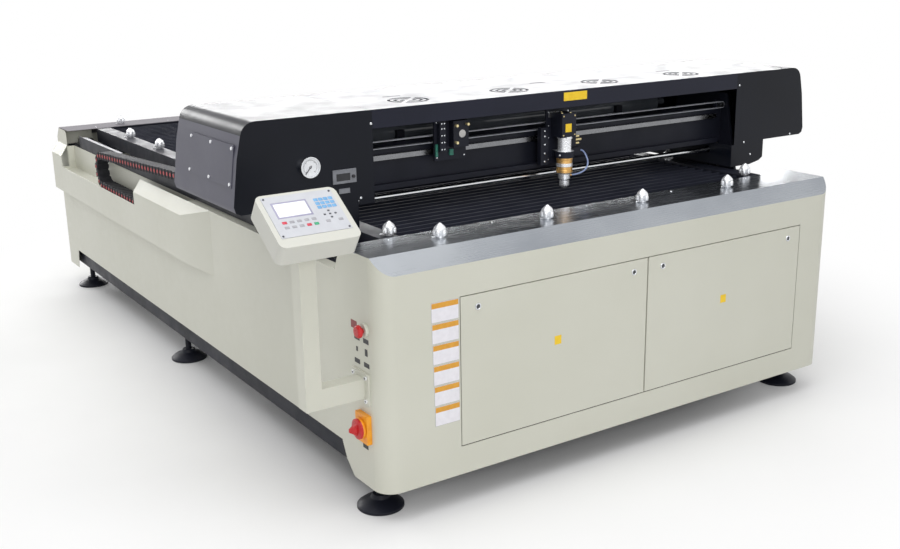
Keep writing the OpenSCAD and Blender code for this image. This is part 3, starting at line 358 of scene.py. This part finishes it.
stainless = surface("brushed_stainless", brushed, Metallic=1.0)
fold_z = 757
dress("front_table", "front_plate", stainless, "frame", 0.0006)
repaint(front_shell, stainless, lambda x, y, z: z > fold_z and y < 120)


def dulled():
    lines, smears = grain(900, (0.012, 1, 1), 4), grain(3, (0.6, 1, 1), 4)
    return {"Base Color": mixed(between(smears, 0, 1), srgb(122, 119, 124), srgb(136, 133, 138)),
            "Roughness": between(smears, 0.72, 0.82), "Bump": (lines, 0.00003)}


dull_stainless = surface("dull_stainless", dulled, Metallic=0.2, Specular_IOR_Level=0.1)
dress("rear_table", "rear_plate", dull_stainless, "frame", 0.0006)
repaint(rear_shell, dull_stainless, lambda x, y, z: z > fold_z and y > 3100)


def screw(x, y, z, axis, r=4.5):
    """A round screw head with a slightly domed face and a hexagon socket."""
    return turned([(0, 0.9), (r * 0.42, 0.9), (r * 0.5, 2.2), (r * 0.8, 2), (r, 1), (r, -1)], at(x, y, z), axis, 16)


table_h = 805
heads = [screw(x, y, table_h, (0, 0, 1), 4) for y in (190, 3050) for x in (150, 520, 900, 1280, 1650)]
settle(join(*heads), "plate_screws", chrome, "frame")


# The bed is a welded steel frame with toothless blades across it, each wider at its foot. The frame has
# a matt black coat, and the blades' coat is dulled with soot.
def black_coat():
    dust, fine = grain(5), grain(500, detail=2)
    return {"Base Color": mixed(between(dust, 0, 1), srgb(20, 22, 31), srgb(30, 32, 43)),
            "Roughness": between(grain(16), 0.4, 0.52), "Bump": (fine, 0.0001)}


matt_black = surface("matt_black_coat", black_coat, Specular_IOR_Level=0.22)
dress("bed_frame", "bed_rim", matt_black, "frame", 0.001)


def coloured(name, first, second, rough, scale=60, depth=0.00005, **steady):
    """A moulded, printed or painted finish in two close tones, 0 to 255, with a fine grain."""
    return surface(name, lambda: {"Base Color": mixed(between(grain(scale), 0, 1), srgb(*first), srgb(*second)),
                                  "Roughness": between(grain(4 * scale), *rough),
                                  "Bump": (grain(12 * scale, detail=2), depth)}, **steady)


sooted = coloured("sooted_black_coat", (38, 40, 50), (48, 50, 61), (0.66, 0.76), 8, 0.00003,
                  Specular_IOR_Level=0.08)
dress("bed_blades", "bed_slats", sooted, "frame", 0)


# Bright chrome knobs clamp the bed along all four sides: five round lobes, a domed crown and a small cross
# screw with a ball at its end. One is modelled and the rest are copies.
# This chrome is only partly metallic over a near-white colour, so part of its brightness is a painted reflection of
# the white studio.
def plating_painted_bright():
    smear = grain(140)
    return {"Base Color": mixed(between(smear, 0, 1), srgb(232, 234, 238), srgb(246, 247, 249)),
            "Roughness": between(grain(320), 0.2, 0.32), "Bump": (grain(260), 0.00002)}


chrome_painted_bright = surface("chrome_plate_painted_reflection", plating_painted_bright, Metallic=0.62, Specular_IOR_Level=0.8)


def copied(obj, place, name):
    """Another one of a finished piece, with a mesh of its own, put at a place."""
    twin = bpy.data.objects.new(name, obj.data.copy())
    bpy.context.collection.objects.link(twin)
    twin.data.transform(place)
    return twin


knob_r = 22
lobe_ring = knob_r * 0.66
knob = turned([(0, 0), (12.6, 0), (13.2, 0.8), (13.2, 5.5), (15.2, 6), (15.6, 7), (15.6, 22), (15, 23), (0, 23)],
              at(0, 0, 0), (0, 0, 1), 20)
crown = turned([(0, 20), (16.6, 20.6), (18.6, 22), (19, 24), (18, 28), (15.4, 32), (11.6, 35.8), (8, 38.8),
                (5, 41.4), (2.2, 43.3), (0, 43.8)], at(0, 0, 0), (0, 0, 1), 20)
lobes = []
for k in range(5):
    turn = math.radians(72 * k)
    lobes.append(turned([(0, 5.6), (6, 5.6), (7.2, 7), (7.4, 9), (7.4, 18), (6.8, 21), (5, 23.6), (2.6, 25),
                         (0, 25.4)], at(lobe_ring * math.cos(turn), lobe_ring * math.sin(turn), 0), (0, 0, 1), 12))
ball = turned([(0, -3), (1.9, -2.4), (2.9, -0.9), (2.9, 0.9), (1.9, 2.4), (0, 3)], at(-26, 0, 3), (1, 0, 0), 10)
cross_bar = turned([(0, 0), (1.5, 0), (1.5, 22), (0, 22)], at(-25, 0, 3), (1, 0, 0), 8)
settle(join(knob, crown, *lobes, ball, cross_bar), "clamp_knob_pattern", chrome_painted_bright, None, (), 30)
side_pitch, end_pitch, rail_top = 397, 400, 803
side_spots = [(x, 250 + side_pitch * k, rail_top, turn) for x, turn in ((188, -30), (1712, -150)) for k in range(7)]
end_spots = [(290 + end_pitch * k, y, table_h, 0) for k in range(4) for y in (130, 3092)]
for number, (x, y, z, turn) in enumerate(side_spots + end_spots, 1):
    stand = Matrix.Translation(at(x, y, z)) @ Matrix.Rotation(math.radians(turn), 4, "Z")
    one = copied(knob, stand @ Matrix.Translation(-at(0, 0, 0)), f"clamp_knob_{number}")
    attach(one, "frame")
    if number == 1:
        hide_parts("bed_clamps")
bpy.data.objects.remove(knob)

# The base is welded rectangular tube on six flared levelling feet, in black paint, with stainless sheets in
# its service bay. The long side beams carry ground steel strips with a linear rail and an open toothed belt
# each, and a grey strip lies on the chain's guide.
dress("chassis", "chassis_tubes", matt_black, "frame", 0.002)
dress("levelling_feet", "levelling_feet_six", matt_black, "frame", 0.0008)
dress("side_beams", "side_beam_pair", matt_black, "frame", 0.0015)
dress("bay_bulkhead", "bay_sheets", stainless, "frame", 0)


def ground():
    lines = grain(700, (1, 0.02, 1), 3)
    return {"Base Color": mixed(between(lines, 0, 1), srgb(118, 119, 122), srgb(150, 151, 154)),
            "Roughness": between(grain(40), 0.22, 0.36), "Bump": (lines, 0.00003)}


steel = surface("ground_steel", ground, Metallic=1.0)


def rubber_finish():
    return {"Base Color": mixed(between(grain(80), 0, 1), srgb(24, 24, 26), srgb(34, 34, 36)),
            "Roughness": between(grain(300), 0.55, 0.75), "Bump": (grain(900), 0.0001)}


rubber = surface("black_belt_rubber", rubber_finish)
dress("y_rails", "long_rails", steel, "frame", 0.0004)
dress("y_belts", "long_belts", rubber, "frame", 0.0004)
guide_grey = coloured("guide_strip_grey", (146, 146, 152), (160, 160, 166), (0.45, 0.6))
settle(slab((27.5, 2300, 785.8), (44, 2860, 787.6), 0.5, 1), "chain_guide_strip", guide_grey, "frame")


# The gantry is closed by folded steel covers in a satin black coat: an end cover at each side, and a long
# top cover with a visor and four round vents. The outer end faces and their access plates are painted a
# lighter violet grey, a painted sheen where light grazes them.
def satin_black():
    cloud, peel = grain(3), grain(460, detail=2)
    return {"Base Color": mixed(between(cloud, 0, 1), srgb(11, 14, 22), srgb(16, 19, 29)),
            "Roughness": between(grain(12), 0.3, 0.38), "Bump": (peel, 0.00008)}


# The same satin black painted lighter and violet: a painted sheen for the light that grazes the end covers' outer
# faces.
def satin_with_painted_sheen():
    cloud, peel = grain(3), grain(460, detail=2)
    return {"Base Color": mixed(between(cloud, 0, 1), srgb(78, 78, 90), srgb(88, 88, 100)),
            "Roughness": between(grain(12), 0.34, 0.42), "Bump": (peel, 0.00008)}


satin = surface("satin_black_coat", satin_black, Specular_IOR_Level=0.2)
painted_sheen_coat = surface("satin_black_painted_sheen", satin_with_painted_sheen, Specular_IOR_Level=0.25)
for node, name in (("left_cover", "left_end_cover"), ("right_cover", "right_end_cover")):
    cover = dress(node, name, satin, "gantry", 0.0014)
    repaint(cover, painted_sheen_coat, lambda x, y, z: (x < -222 or x > 2122) and y > 358.5)
# The top cover takes a lighter copy of the same satin black, painted light on the visor's front.
satin_painted_lighter = coloured("satin_black_painted_light", (24, 26, 38), (31, 33, 47), (0.3, 0.38), 3, 0.00002,
                       Specular_IOR_Level=0.2)
dress("top_cover", "top_cover_shell", satin_painted_lighter, "gantry", 0.0014)
settle(slab((150, 357.2, 880), (204, 359, 898), 0.4, 1), "cover_lip", satin, "gantry")
# The access plates on the end faces take the painted sheen as well.
hatches = dress("access_covers", "end_access_plates", painted_sheen_coat, "gantry", 0.0008)
face_lean = math.atan(18 / 134)


def proud(x, z):
    """How far a point stands out of an access plate's plane, in millimetres."""
    return (z - 976) * math.sin(face_lean) - (x + 244.28) * math.cos(face_lean)


body_w = 1900
repaint(hatches, chrome_painted_bright, lambda x, y, z: max(proud(x, z), proud(body_w - x, z)) > 2.5)

# Under the covers a steel box girder lies on two legs of cut plate, in matt black paint, with the motors and
# the cradles of the laser tube bolted on. A ground steel rail is screwed along the girder's front.
dress("gantry_legs", "gantry_leg_pair", matt_black, "gantry", 0.0008)
dress("gantry_beam", "girder", matt_black, "gantry", 0.0015)
dress("drive_motors", "gantry_motors", matt_black, "gantry", 0.0015)
dress("tube_mounts", "tube_cradles", matt_black, "gantry", 0.0008)
dress("x_rail", "head_rail", steel, "gantry", 0.0004)


# Both carriages are pulled along the rail by one closed toothed belt of pale polyurethane. It turns round
# a small pulley at each end of the girder.
def pale_belt():
    return {"Base Color": mixed(between(grain(60), 0, 1), srgb(150, 153, 160), srgb(172, 175, 182)),
            "Roughness": between(grain(300), 0.4, 0.55), "Bump": (grain(700), 0.00002)}


belt_white = surface("pale_toothed_belt", pale_belt)
dress("x_belt", "head_belt", belt_white, "gantry", 0.0003)


# The laser tube is sealed glass with a narrower metal end at each side, and lies in its cradles behind the
# girder. It looks grey and smooth under the covers.
def tube_finish():
    return {"Base Color": mixed(between(grain(8), 0, 1), srgb(88, 93, 100), srgb(108, 113, 120)),
            "Roughness": between(grain(20), 0.12, 0.2), "Bump": (grain(30), 0.00003)}


glass = surface("tube_glass", tube_finish, Alpha=1.0, Coat_Weight=0.2)
dress("laser_tube", "glass_tube", glass, "gantry", 0)

# The gantry is driven by a polished steel shaft across it, with a toothed pulley near each end. Two idlers
# of ground steel lead the black belt up to each pulley.
dress("belt_loops", "drive_belt_loops", rubber, "gantry", 0.0003)
dress("cross_shaft", "polished_shaft", chrome, "shaft", 0.0005)
for number, place in enumerate(("front_left", "rear_left", "front_right", "rear_right"), 1):
    dress(f"idler_{number}", f"idler_roller_{place}", steel, f"idler_{place}", 0.0006)
for side in ("left", "right"):
    dress(f"x_pulley_{side}", f"belt_pulley_{side}_wheel", steel, f"belt_pulley_{side}", 0.0003)

# The control box is an ivory shell with soft corners, in coated sheet steel. It stands on an arm of square
# tube, whose flange is bolted to the body's left side.
arm = dress("control_arm", "panel_arm", ivory, "frame", 0.002)
pale_ivory = coloured("pale_ivory_coat", (198, 198, 190), (203, 203, 195), (0.36, 0.46), 3, 0.00002,
                      Specular_IOR_Level=0.35)
dress("control_box", "panel_box", pale_ivory, "frame", 0.006, 4)


# The face of the box is a printed film over flat keys: a bright screen, blue number keys, an arrow cross,
# and grey, red and green keys below. The film is held by a screw at each corner, and the keys are bare.
film = coloured("keypad_film", (186, 188, 194), (193, 195, 201), (0.3, 0.42), 30)
lilac = coloured("keypad_surround", (150, 148, 172), (162, 160, 184), (0.3, 0.42), 30)
screen = coloured("screen_glass", (236, 241, 247), (246, 249, 252), (0.08, 0.16), 30, 0.00002, Coat_Weight=0.6)
blue_key = coloured("blue_key_film", (98, 156, 204), (114, 170, 214), (0.3, 0.42))
grey_key = coloured("grey_key_film", (150, 150, 156), (168, 168, 173), (0.3, 0.42))
dark_key = coloured("dark_key_film", (62, 64, 72), (76, 78, 86), (0.3, 0.42))
red_key = coloured("red_key_film", (196, 44, 66), (210, 58, 80), (0.3, 0.42))
green_key = coloured("green_key_film", (28, 150, 104), (42, 166, 118), (0.3, 0.42))
panel_tilt = (Matrix.Translation(at(-171, 60, 953)) @ Matrix.Rotation(math.radians(34), 4, "X")
              @ Matrix.Translation(-at(0, 0, 0)))
dress("keypad_panel", "keypad_sheet", film, "frame", 0.0003)


def pads(name, material, spots, width, height, top=1.5, soft=1.2):
    """Flat pads on the panel's face, each with its middle in the face's own millimetres."""
    made = [slab((x - width / 2, y - height / 2, 0.1), (x + width / 2, y + height / 2, top), soft, 2)
            for x, y in spots]
    made = join(*made)
    made.data.transform(panel_tilt)
    return settle(made, name, material, "frame")


pads("screen_frame", lilac, [(-33, 21.5)], 103, 59, 1.1, 0.4)
pads("screen_pane", screen, [(-33, 21.5)], 92, 48, 1.5, 0.3)
pads("keys_blue", blue_key, [(44.5 + 14.6 * k, y) for k in range(4) for y in (14, 28, 42)], 12.4, 10.6)
pads("keys_arrow", dark_key, [(63, -14), (47, -14), (79, -14), (63, -2), (63, -26)], 6.5, 5.5)
key_pitch, upper_row, lower_row = 21.2, -23.3, -41
pads("keys_grey", grey_key, [(-52.3 + key_pitch * k, upper_row) for k in range(4)]
     + [(-73.5 + key_pitch * k, lower_row) for k in range(3)] + [(47, -38), (84, -38)], 13, 8.5)
pads("keys_red", red_key, [(-73.5, upper_row), (-9.9, lower_row)], 13.4, 9)
pads("key_green", green_key, [(11.3, lower_row)], 13.4, 9)
film_screws = settle(join(*[screw(x, y, 0.2, (0, 0, 1), 3.2) for x in (-96, 96) for y in (-68, 68)]), "film_screws",
                     dark_key, "frame")
film_screws.data.transform(panel_tilt)

# On the body's left side are a mushroom stop button in a painted collar, and below it the main switch: an
# orange plate with a raised orange ring, and in it a red disc whose handle narrows to a small tip.
orange = coloured("switch_plate_orange", (236, 150, 26), (246, 168, 40), (0.3, 0.42))
red = coloured("red_plastic", (182, 18, 24), (200, 30, 34), (0.25, 0.38))
plates = dress("switch_bases", "switch_plates", orange, "frame", 0.0012)
repaint(plates, ivory, lambda x, y, z: z > 500)
dress("estop_button", "stop_button_head", red, "stop_button", 0.0008)
switch_y, switch_z = 94, 290
dial = turned([(0, 34), (21, 34), (26, 33.2), (30.6, 31), (30.8, 25.4), (31, 25), (31, 19), (30, 17.2), (10, 16.8),
               (7.4, 16.8), (7.4, 4), (0, 4)], at(0, switch_y, switch_z), (-1, 0, 0), 32)
settle(dial, "main_switch_dial", orange, "main_switch")
repaint(dial, red, lambda x, y, z: x < -25.1)


def edit(obj, chosen):
    """Edit mode on one object, with the points selected that pass the test."""
    pick(obj)
    mesh = obj.data
    for group in (mesh.vertices, mesh.edges, mesh.polygons):
        group.foreach_set("select", [False] * len(group))
    for point in mesh.vertices:
        point.select = chosen(point.co)
    bpy.ops.object.mode_set(mode="EDIT")
    bpy.ops.mesh.select_mode(type="VERT")


handle_tip = -56
handle = slab((handle_tip, switch_y - 8, switch_z - 18), (-33, switch_y + 8, switch_z + 18), 1, 1)
edit(handle, lambda co: co.x < at(-55, 0, 0).x + 0.0015)
bpy.ops.transform.resize(value=(1, 0.4, 0.3), center_override=at(handle_tip, switch_y, switch_z))
bpy.ops.object.mode_set(mode="OBJECT")
settle(handle, "main_switch_handle", red, "main_switch", ("main_switch",))

# The left side carries plain plates beside the switches, two small black sockets and the arm's flange, whose
# bolts have bright heads with a flat black disc in each, painted shade for the hex socket. Left of the doors the
# front has six plain two-tone plates in a column, and each door has a small plain yellow one.
dark_red = coloured("plate_dark_red", (122, 40, 40), (138, 52, 50), (0.35, 0.5))
black_plate = coloured("plate_black", (30, 30, 33), (42, 42, 46), (0.35, 0.5))
ochre = coloured("plate_ochre", (212, 150, 44), (222, 162, 56), (0.35, 0.48))
pale_plate = coloured("plate_pale", (226, 224, 230), (234, 232, 238), (0.35, 0.48))
plate_yellow = coloured("plate_yellow", (238, 196, 26), (246, 208, 42), (0.32, 0.45))


def side_plate(y, z, width, height, thick=0.8):
    return slab((-thick, y - width / 2, z - height / 2), (0.3, y + width / 2, z + height / 2), 0.25, 1)


settle(side_plate(143, 590, 34, 24), "side_plate_red", dark_red, "frame")
settle(join(*[side_plate(y, z, 30, 14) for y, z in ((128, 555), (76, 556), (130, 483), (76, 484), (100, 226))]),
       "side_plates_dark", black_plate, "frame")
sockets = [side_plate(129, 520, 8, 14, 1.4), side_plate(76, 522, 13, 20, 1.4)]
settle(join(*sockets), "side_sockets", black_plate, "frame")
plate_pitch = 63.6
rims, fronts, bands = [], [], []
for k in range(6):
    left, top = 172 + 1.5 * k, 654 - plate_pitch * k
    rims.append(slab((left - 0.8, -0.5, top - 58.8), (264.8, 0.3, top + 0.8), 0.2, 1))
    fronts.append(slab((left, -0.8, top - 58), (264, 0.3, top), 0.2, 1))
    bands.append(slab((left + 0.4, -1.1, top - 16.5), (263.6, 0.2, top - 0.6), 0.2, 1))
settle(join(*rims), "front_plate_rims", grey_key, "frame")
settle(join(*fronts), "front_plates", pale_plate, "frame")
settle(join(*bands), "front_plate_bands", ochre, "frame")
for side, x in (("left", 633), ("right", 1358)):
    settle(slab((x - 13, -0.8, 438), (x + 13, 0.3, 466), 0.25, 1), f"door_plate_{side}", plate_yellow, f"door_{side}")
bolt_ys, bolt_zs, bolt_reach = (73, 143), (377, 447), 7
repaint(arm, chrome_painted_bright, lambda x, y, z: x < -6.3 and min(abs(y - bolt_y) for bolt_y in bolt_ys) < bolt_reach
        and min(abs(z - bolt_z) for bolt_z in bolt_zs) < bolt_reach)
# Flat black discs on the bolt heads are painted shade in place of the hex sockets' recesses.
socket_shade_discs = [turned([(0, 0.3), (3.2, 0.3), (3.5, 0), (3.5, -0.6), (0, -0.6)], at(-11, y, z), (-1, 0, 0), 6)
                for y in bolt_ys for z in bolt_zs]
settle(join(*socket_shade_discs), "arm_bolt_socket_shade", black_plate, "frame")

# The service bay behind the doors holds the laser's supply, the controller and the motor drivers. They are
# closed sheet metal boxes, screwed to the bay's sheet.
dress("drive_electrics", "bay_electrics", matt_black, "frame", 0.001)

# The cutting head hangs on a black carriage plate: a mirror block, a black focus collar, a chrome sleeve and
# the lens tube, which has two brass bands, a clamp ring and a flared nozzle. Pale gold screws set the
# mirror.
brass = coloured("brass", (218, 168, 96), (236, 190, 122), (0.24, 0.36), 90, 0.00003, Metallic=0.75)
pale_gold = coloured("pale_gold", (226, 206, 150), (240, 226, 178), (0.25, 0.4), 90, 0.00003, Metallic=0.6)
dress("head_carriage", "head_carriage_plates", matt_black, "head", 0.0006)
body = dress("laser_head", "head_body", matt_black, "head", 0.0006)
repaint(body, chrome_painted_bright, lambda x, y, z: 955.5 < z < 1003.5 and math.hypot(x - head_x, y - head_y) < 26.5)
repaint(body, pale_gold, lambda x, y, z: x > 1021.9)
tube = dress("lens_tube", "lens_tube_body", chrome_painted_bright, "lens", 0.0004)
repaint(tube, brass, lambda x, y, z: (nozzle_z + 53 < z < nozzle_z + 73 or nozzle_z + 85 < z < nozzle_z + 103)
        and math.hypot(x - head_x, y - head_y) > 22)
repaint(tube, brass, lambda x, y, z: x > head_x + 20.5 and z < nozzle_z + 47)
settle(slab((head_x - 16, 354.9, 1022), (head_x + 10, 356.3, 1050), 0.4, 1), "head_plate", plate_yellow, "head")
focus_screw = turned([(0, -6), (1.6, -6), (1.6, 3), (3.2, 4), (4.2, 6.4), (3.2, 8.8), (0, 10)],
                     at(head_x - 30, head_y - 14, 945), (-0.85, -0.5, 0), 12)
settle(focus_screw, "focus_lock_screw", chrome, "head")
plate_bolts = [screw(head_x + x, 416, z, (0, -1, 0), 3.2) for x in (-42, 42) for z in (925, 1000, 1040, 1085)]
plate_bolts += [screw(head_x - 66, 404, z, (0, -1, 0), 3.6) for z in (922, 950, 980, 1008, 1026)]
settle(join(*plate_bolts), "head_bolts", chrome, "head")
top_screws = [screw(head_x + x, 372 + y, 1084, (0, 0, 1), 3) for x, y in ((-18, 0), (18, 0), (0, 26))]
top_screws += [screw(head_x + x, 356, z, (0, -1, 0), 2.6) for x in (-24, 24) for z in (1012, 1076)]
settle(join(*top_screws), "mirror_block_screws", pale_gold, "head")
clamp_plate = slab((head_x - 42, 412, 1068), (head_x + 2, 416.5, 1088), 0.6, 1)
settle(clamp_plate, "belt_clamp_plate", steel, "head")

# The second carriage, on the same rail and belt, holds a round grey mirror in a square black holder with three
# pale gold adjusting screws, beside a screwed block. Two green plastic clips grip the belt.
mirror_x, mirror_z = 550, 1053
holder = dress("mirror_carriage", "mirror_holder", matt_black, "mirror", 0.0006)
repaint(holder, pale_gold, lambda x, y, z: y < 388.5)
mirror_finish = coloured("mirror_disc", (168, 166, 164), (190, 188, 186), (0.2, 0.3), 20, 0.00001, Metallic=0.5)
disc = turned([(0, 0.5), (11.8, 0.5), (12.7, 0.1), (12.7, -1), (0, -1)], at(mirror_x, 390, mirror_z), (0, -1, 0), 28)
settle(disc, "mirror_disc", mirror_finish, "mirror")
green_clip = coloured("belt_clip_green", (34, 104, 88), (50, 126, 108), (0.35, 0.5))
clips = [slab((461, 409, 984), (469.4, 416.3, 1024), 1, 1), slab((514, 409, 984), (528, 416.3, 1004), 1, 1)]
settle(join(*clips), "belt_clips", green_clip, "mirror")
block_screws = [screw(x, 398, z, (0, -1, 0), 3) for x in (476, 486) for z in (1008, 1030, 1052, 1074, 1090)]
block_screws += [screw(520 + x, 416, z, (0, -1, 0), 3.2) for x in (-52, 52) for z in (980, 1092)]
settle(join(*block_screws), "mirror_block_bolts", chrome, "mirror")

# The covers are held by chrome button screws, along their front faces and one further back. A plain yellow
# plate is stuck to the visor.
cover_front = 357
cover_screws = [screw(x, cover_front, z, (0, -1, 0), 4) for x, z in (
    (199, 1121), (156, 901), (1777, 1117), (1817, 900), (2076, 907), (1856, 850))]
cover_screws.append(screw(1757, 460, 901, (0, -1, 0), 4))
settle(join(*cover_screws), "cover_screws", chrome, "gantry")
settle(slab((936, 356, 1127), (1036, 357.3, 1155), 0.4, 1), "visor_plate", plate_yellow, "gantry")

# The pressure gauge has a chrome plated case, a white dial with 28 fine ticks, every ninth one longer, and
# a dark needle. The small display beside it is a grey frame with a dark window and a round knob.
gauge_x, gauge_z, tick_r = -13, 1015, 23
dial_white = coloured("dial_white", (232, 234, 238), (240, 242, 245), (0.4, 0.5))
case = dress("gauge_case", "gauge_body", chrome, "gantry", 0.0004)
repaint(case, dial_white, lambda x, y, z: 345.5 < y < 346.5 and math.hypot(x - gauge_x, z - gauge_z) < 26.8)
ticks = []
for k in range(28):
    turn = math.radians(225 - 10 * k)
    length = 6 if k % 9 == 0 else 3.2
    tick = slab((gauge_x + tick_r - length, 345.4, gauge_z - 0.45), (gauge_x + tick_r, 346.2, gauge_z + 0.45), 0.1, 1)
    pin = at(gauge_x, 0, gauge_z)
    tick.data.transform(Matrix.Translation(pin) @ Matrix.Rotation(-turn, 4, "Y") @ Matrix.Translation(-pin))
    ticks.append(tick)
settle(join(*ticks), "gauge_ticks", black_plate, "gantry")
dress("gauge_needle", "gauge_pointer", black_plate, "needle", 0)
frame_grey = coloured("display_frame_grey", (112, 114, 120), (128, 130, 136), (0.35, 0.45))
display = dress("display_unit", "display_frame", frame_grey, "gantry", 0.0006)
repaint(display, black_plate, lambda x, y, z: y > 352.5 and 73 < x < 121 and 960 < z < 984)
knob_small = turned([(0, 6), (4.6, 6), (5, 5.2), (5, -0.5), (0, -0.5)], at(130, 352, 972), (0, -1, 0), 16)
settle(knob_small, "display_knob", black_plate, "gantry")
settle(slab((83, 356.3, 922), (120, 357.3, 937), 0.3, 1), "display_plate", frame_grey, "gantry")

# The drag chain is made of moulded black links, each hooked in the next with a red pin cap on both sides. It
# lies in the trough, turns up round its bend and runs back along the top to the gantry.
link_black = coloured("chain_link_black", (36, 36, 40), (48, 48, 52), (0.6, 0.72), 40, 0.00005,
                      Specular_IOR_Level=0.25)
pin_red = coloured("chain_pin_red", (150, 30, 34), (170, 42, 44), (0.4, 0.5))
parts = []
for side in (-1, 1):
    cheek = slab((side * 27 - 3, 0, -16.3), (side * 27 + 3, 22, 16.3), 1.2, 1)
    tail = slab((side * 24.6 - 2.4, 14, -13.6), (side * 24.6 + 2.4, 35.6, 13.6), 1.2, 1)
    parts += [cheek, tail]
for side in (-1, 1):
    parts.append(slab((-25, 1.5, side * 14.4 - 1.8), (25, 29.5, side * 14.4 + 1.8), 0.9, 1))
    parts.append(slab((-23, 18, side * 11.6 - 0.9), (23, 42, side * 11.6 + 0.9), 0.5, 1))
link = join(*parts)
caps = [turned([(0, 1.4), (6.6, 1.4), (7.6, 0.6), (7.6, -1), (0, -1)], at(side * 30, 11, 0), (side, 0, 0), 12)
        for side in (-1, 1)]
link.data.materials.append(link_black)
caps = join(*caps)
caps.data.materials.append(pin_red)
link = join(link, caps)


def run(name, places, body, node):
    """Copies of the link at each place, made one piece that stands for a node of the chain."""
    links = []
    for number, place in enumerate(places):
        narrowed = place @ Matrix.Scale(0.9, 4, (1, 0, 0)) @ Matrix.Translation(-at(0, 0, 0))
        links.append(copied(link, narrowed, f"{name}_{number}"))
    return settle(join(*links), name, None, body, (node,))


chain_x, link_l, half_link = -2, 36, 17.8
bend_y, bend_z, bend_r = 2415, 699.5, 68


def facing(y, z, angle):
    """A place on the chain's line, with the link turned up by an angle in degrees."""
    return Matrix.Translation(at(chain_x, y, z)) @ Matrix.Rotation(math.radians(angle), 4, "X")


lower = run("chain_low_run", [facing(bend_y - link_l * k, bend_z - bend_r, 0) for k in range(1, 28)], None,
            "chain_lower")
at(-2, 1443, 631)
at(-2, 2415, 631)
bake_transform(lower)
rise = 3.27
upper = run("chain_high_run", [facing(bend_y - (link_l * k + 1) * math.cos(math.radians(rise)),
                                      bend_z + bend_r + (link_l * k + 1) * math.sin(math.radians(rise)), 180 - rise)
                               for k in range(53)], "gantry", "chain_upper")
at(-2, 510, 876)
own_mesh(upper)
bend = []
for k in range(6):
    angle = math.radians(-75 + 30 * k)
    middle_y, middle_z = bend_y + bend_r * math.cos(angle), bend_z + bend_r * math.sin(angle)
    along_y, along_z = -math.sin(angle), math.cos(angle)
    bend.append(facing(middle_y - half_link * along_y, middle_z - half_link * along_z, -75 + 30 * k + 90))
run("chain_curve", bend, "chain_bend", "chain_bend")
bpy.data.objects.remove(link)


# The studio floor is a pale flat sheet that fades to white away from the machine. Soft lamps stand above,
# in front of and behind it, and the background is plain white.
def floor_finish():
    return {"Base Color": mixed(between(grain(1.5), 0, 1), srgb(236, 236, 236), srgb(240, 240, 240)),
            "Roughness": between(grain(4), 0.85, 0.95)}


bpy.ops.object.select_all(action="DESELECT")
bpy.ops.mesh.primitive_plane_add(size=60, location=(0, 0, 0))
floor = bpy.context.object
floor.name = "studio_floor"
floor.data.materials.append(surface("pale_floor", floor_finish))
tree = Wire.tree = floor.data.materials[0].node_tree
place = Wire.node("TexCoord", out="Object")
distance = Wire.node("VectorMath", {"operation": "LENGTH"}, {0: place}, "Value")
seen = Wire.node("LightPath", out="Is Camera Ray") + Wire.node("LightPath", out="Is Glossy Ray")
fade = Wire.node("MapRange", {"interpolation_type": "SMOOTHSTEP"}, {0: distance, 1: 1.5, 2: 2.7, 3: 0, 4: 1}) * seen
lit = [node for node in tree.nodes if node.type == "BSDF_PRINCIPLED"][0].outputs[0]
white = Wire.node("Emission", (), {"Color": (1, 1, 1, 1), "Strength": 1.0})
both = Wire.node("MixShader", (), {0: fade, 1: Wire(lit), 2: white})
output = [node for node in tree.nodes if node.type == "OUTPUT_MATERIAL"][0]
tree.links.new(both.socket, output.inputs["Surface"])

world = bpy.data.worlds.new("studio_world")
bpy.context.scene.world = world
world.use_nodes = True
Wire.tree = world.node_tree
Wire.tree.nodes.clear()
background = Wire.node("LightPath", out="Is Camera Ray") + Wire.node("LightPath", out="Is Glossy Ray")
background = background + Wire.node("LightPath", out="Is Transmission Ray")
strength = Wire.node("MapRange", (), {0: background, 1: 0, 2: 1, 3: 0.52, 4: 1.0})
sky = Wire.node("Background", (), {"Color": (1, 1, 1, 1), "Strength": strength})
Wire.tree.links.new(sky.socket, Wire.tree.nodes.new("ShaderNodeOutputWorld").inputs["Surface"])


def lamp(name, place, target, size, power):
    """A soft square lamp of a size in metres, facing a target."""
    bpy.ops.object.select_all(action="DESELECT")
    bpy.ops.object.light_add(type="AREA", location=place)
    light = bpy.context.object
    light.name = name
    light.data.shape, light.data.size, light.data.size_y, light.data.energy = "RECTANGLE", size[0], size[1], power
    light.rotation_euler = (Vector(target) - Vector(place)).to_track_quat("-Z", "Y").to_euler()


lamp("lamp_over", (-1.0, -1.5, 4.5), (0, 0, 0.6), (4.0, 4.0), 120)
lamp("lamp_front", (-2.2, -6.0, 2.4), (-0.2, 0, 0.6), (3.0, 2.0), 64)
lamp("lamp_behind", (3.0, 7.5, 2.15), (0.3, -0.4, 1.1), (13.0, 0.8), 430)
lamp("lamp_corner", (-2.4, 7.5, 3.6), (-1.15, -1.1, 1.1), (2.5, 1.5), 150)

scene = bpy.context.scene
scene.view_settings.view_transform = "Standard"
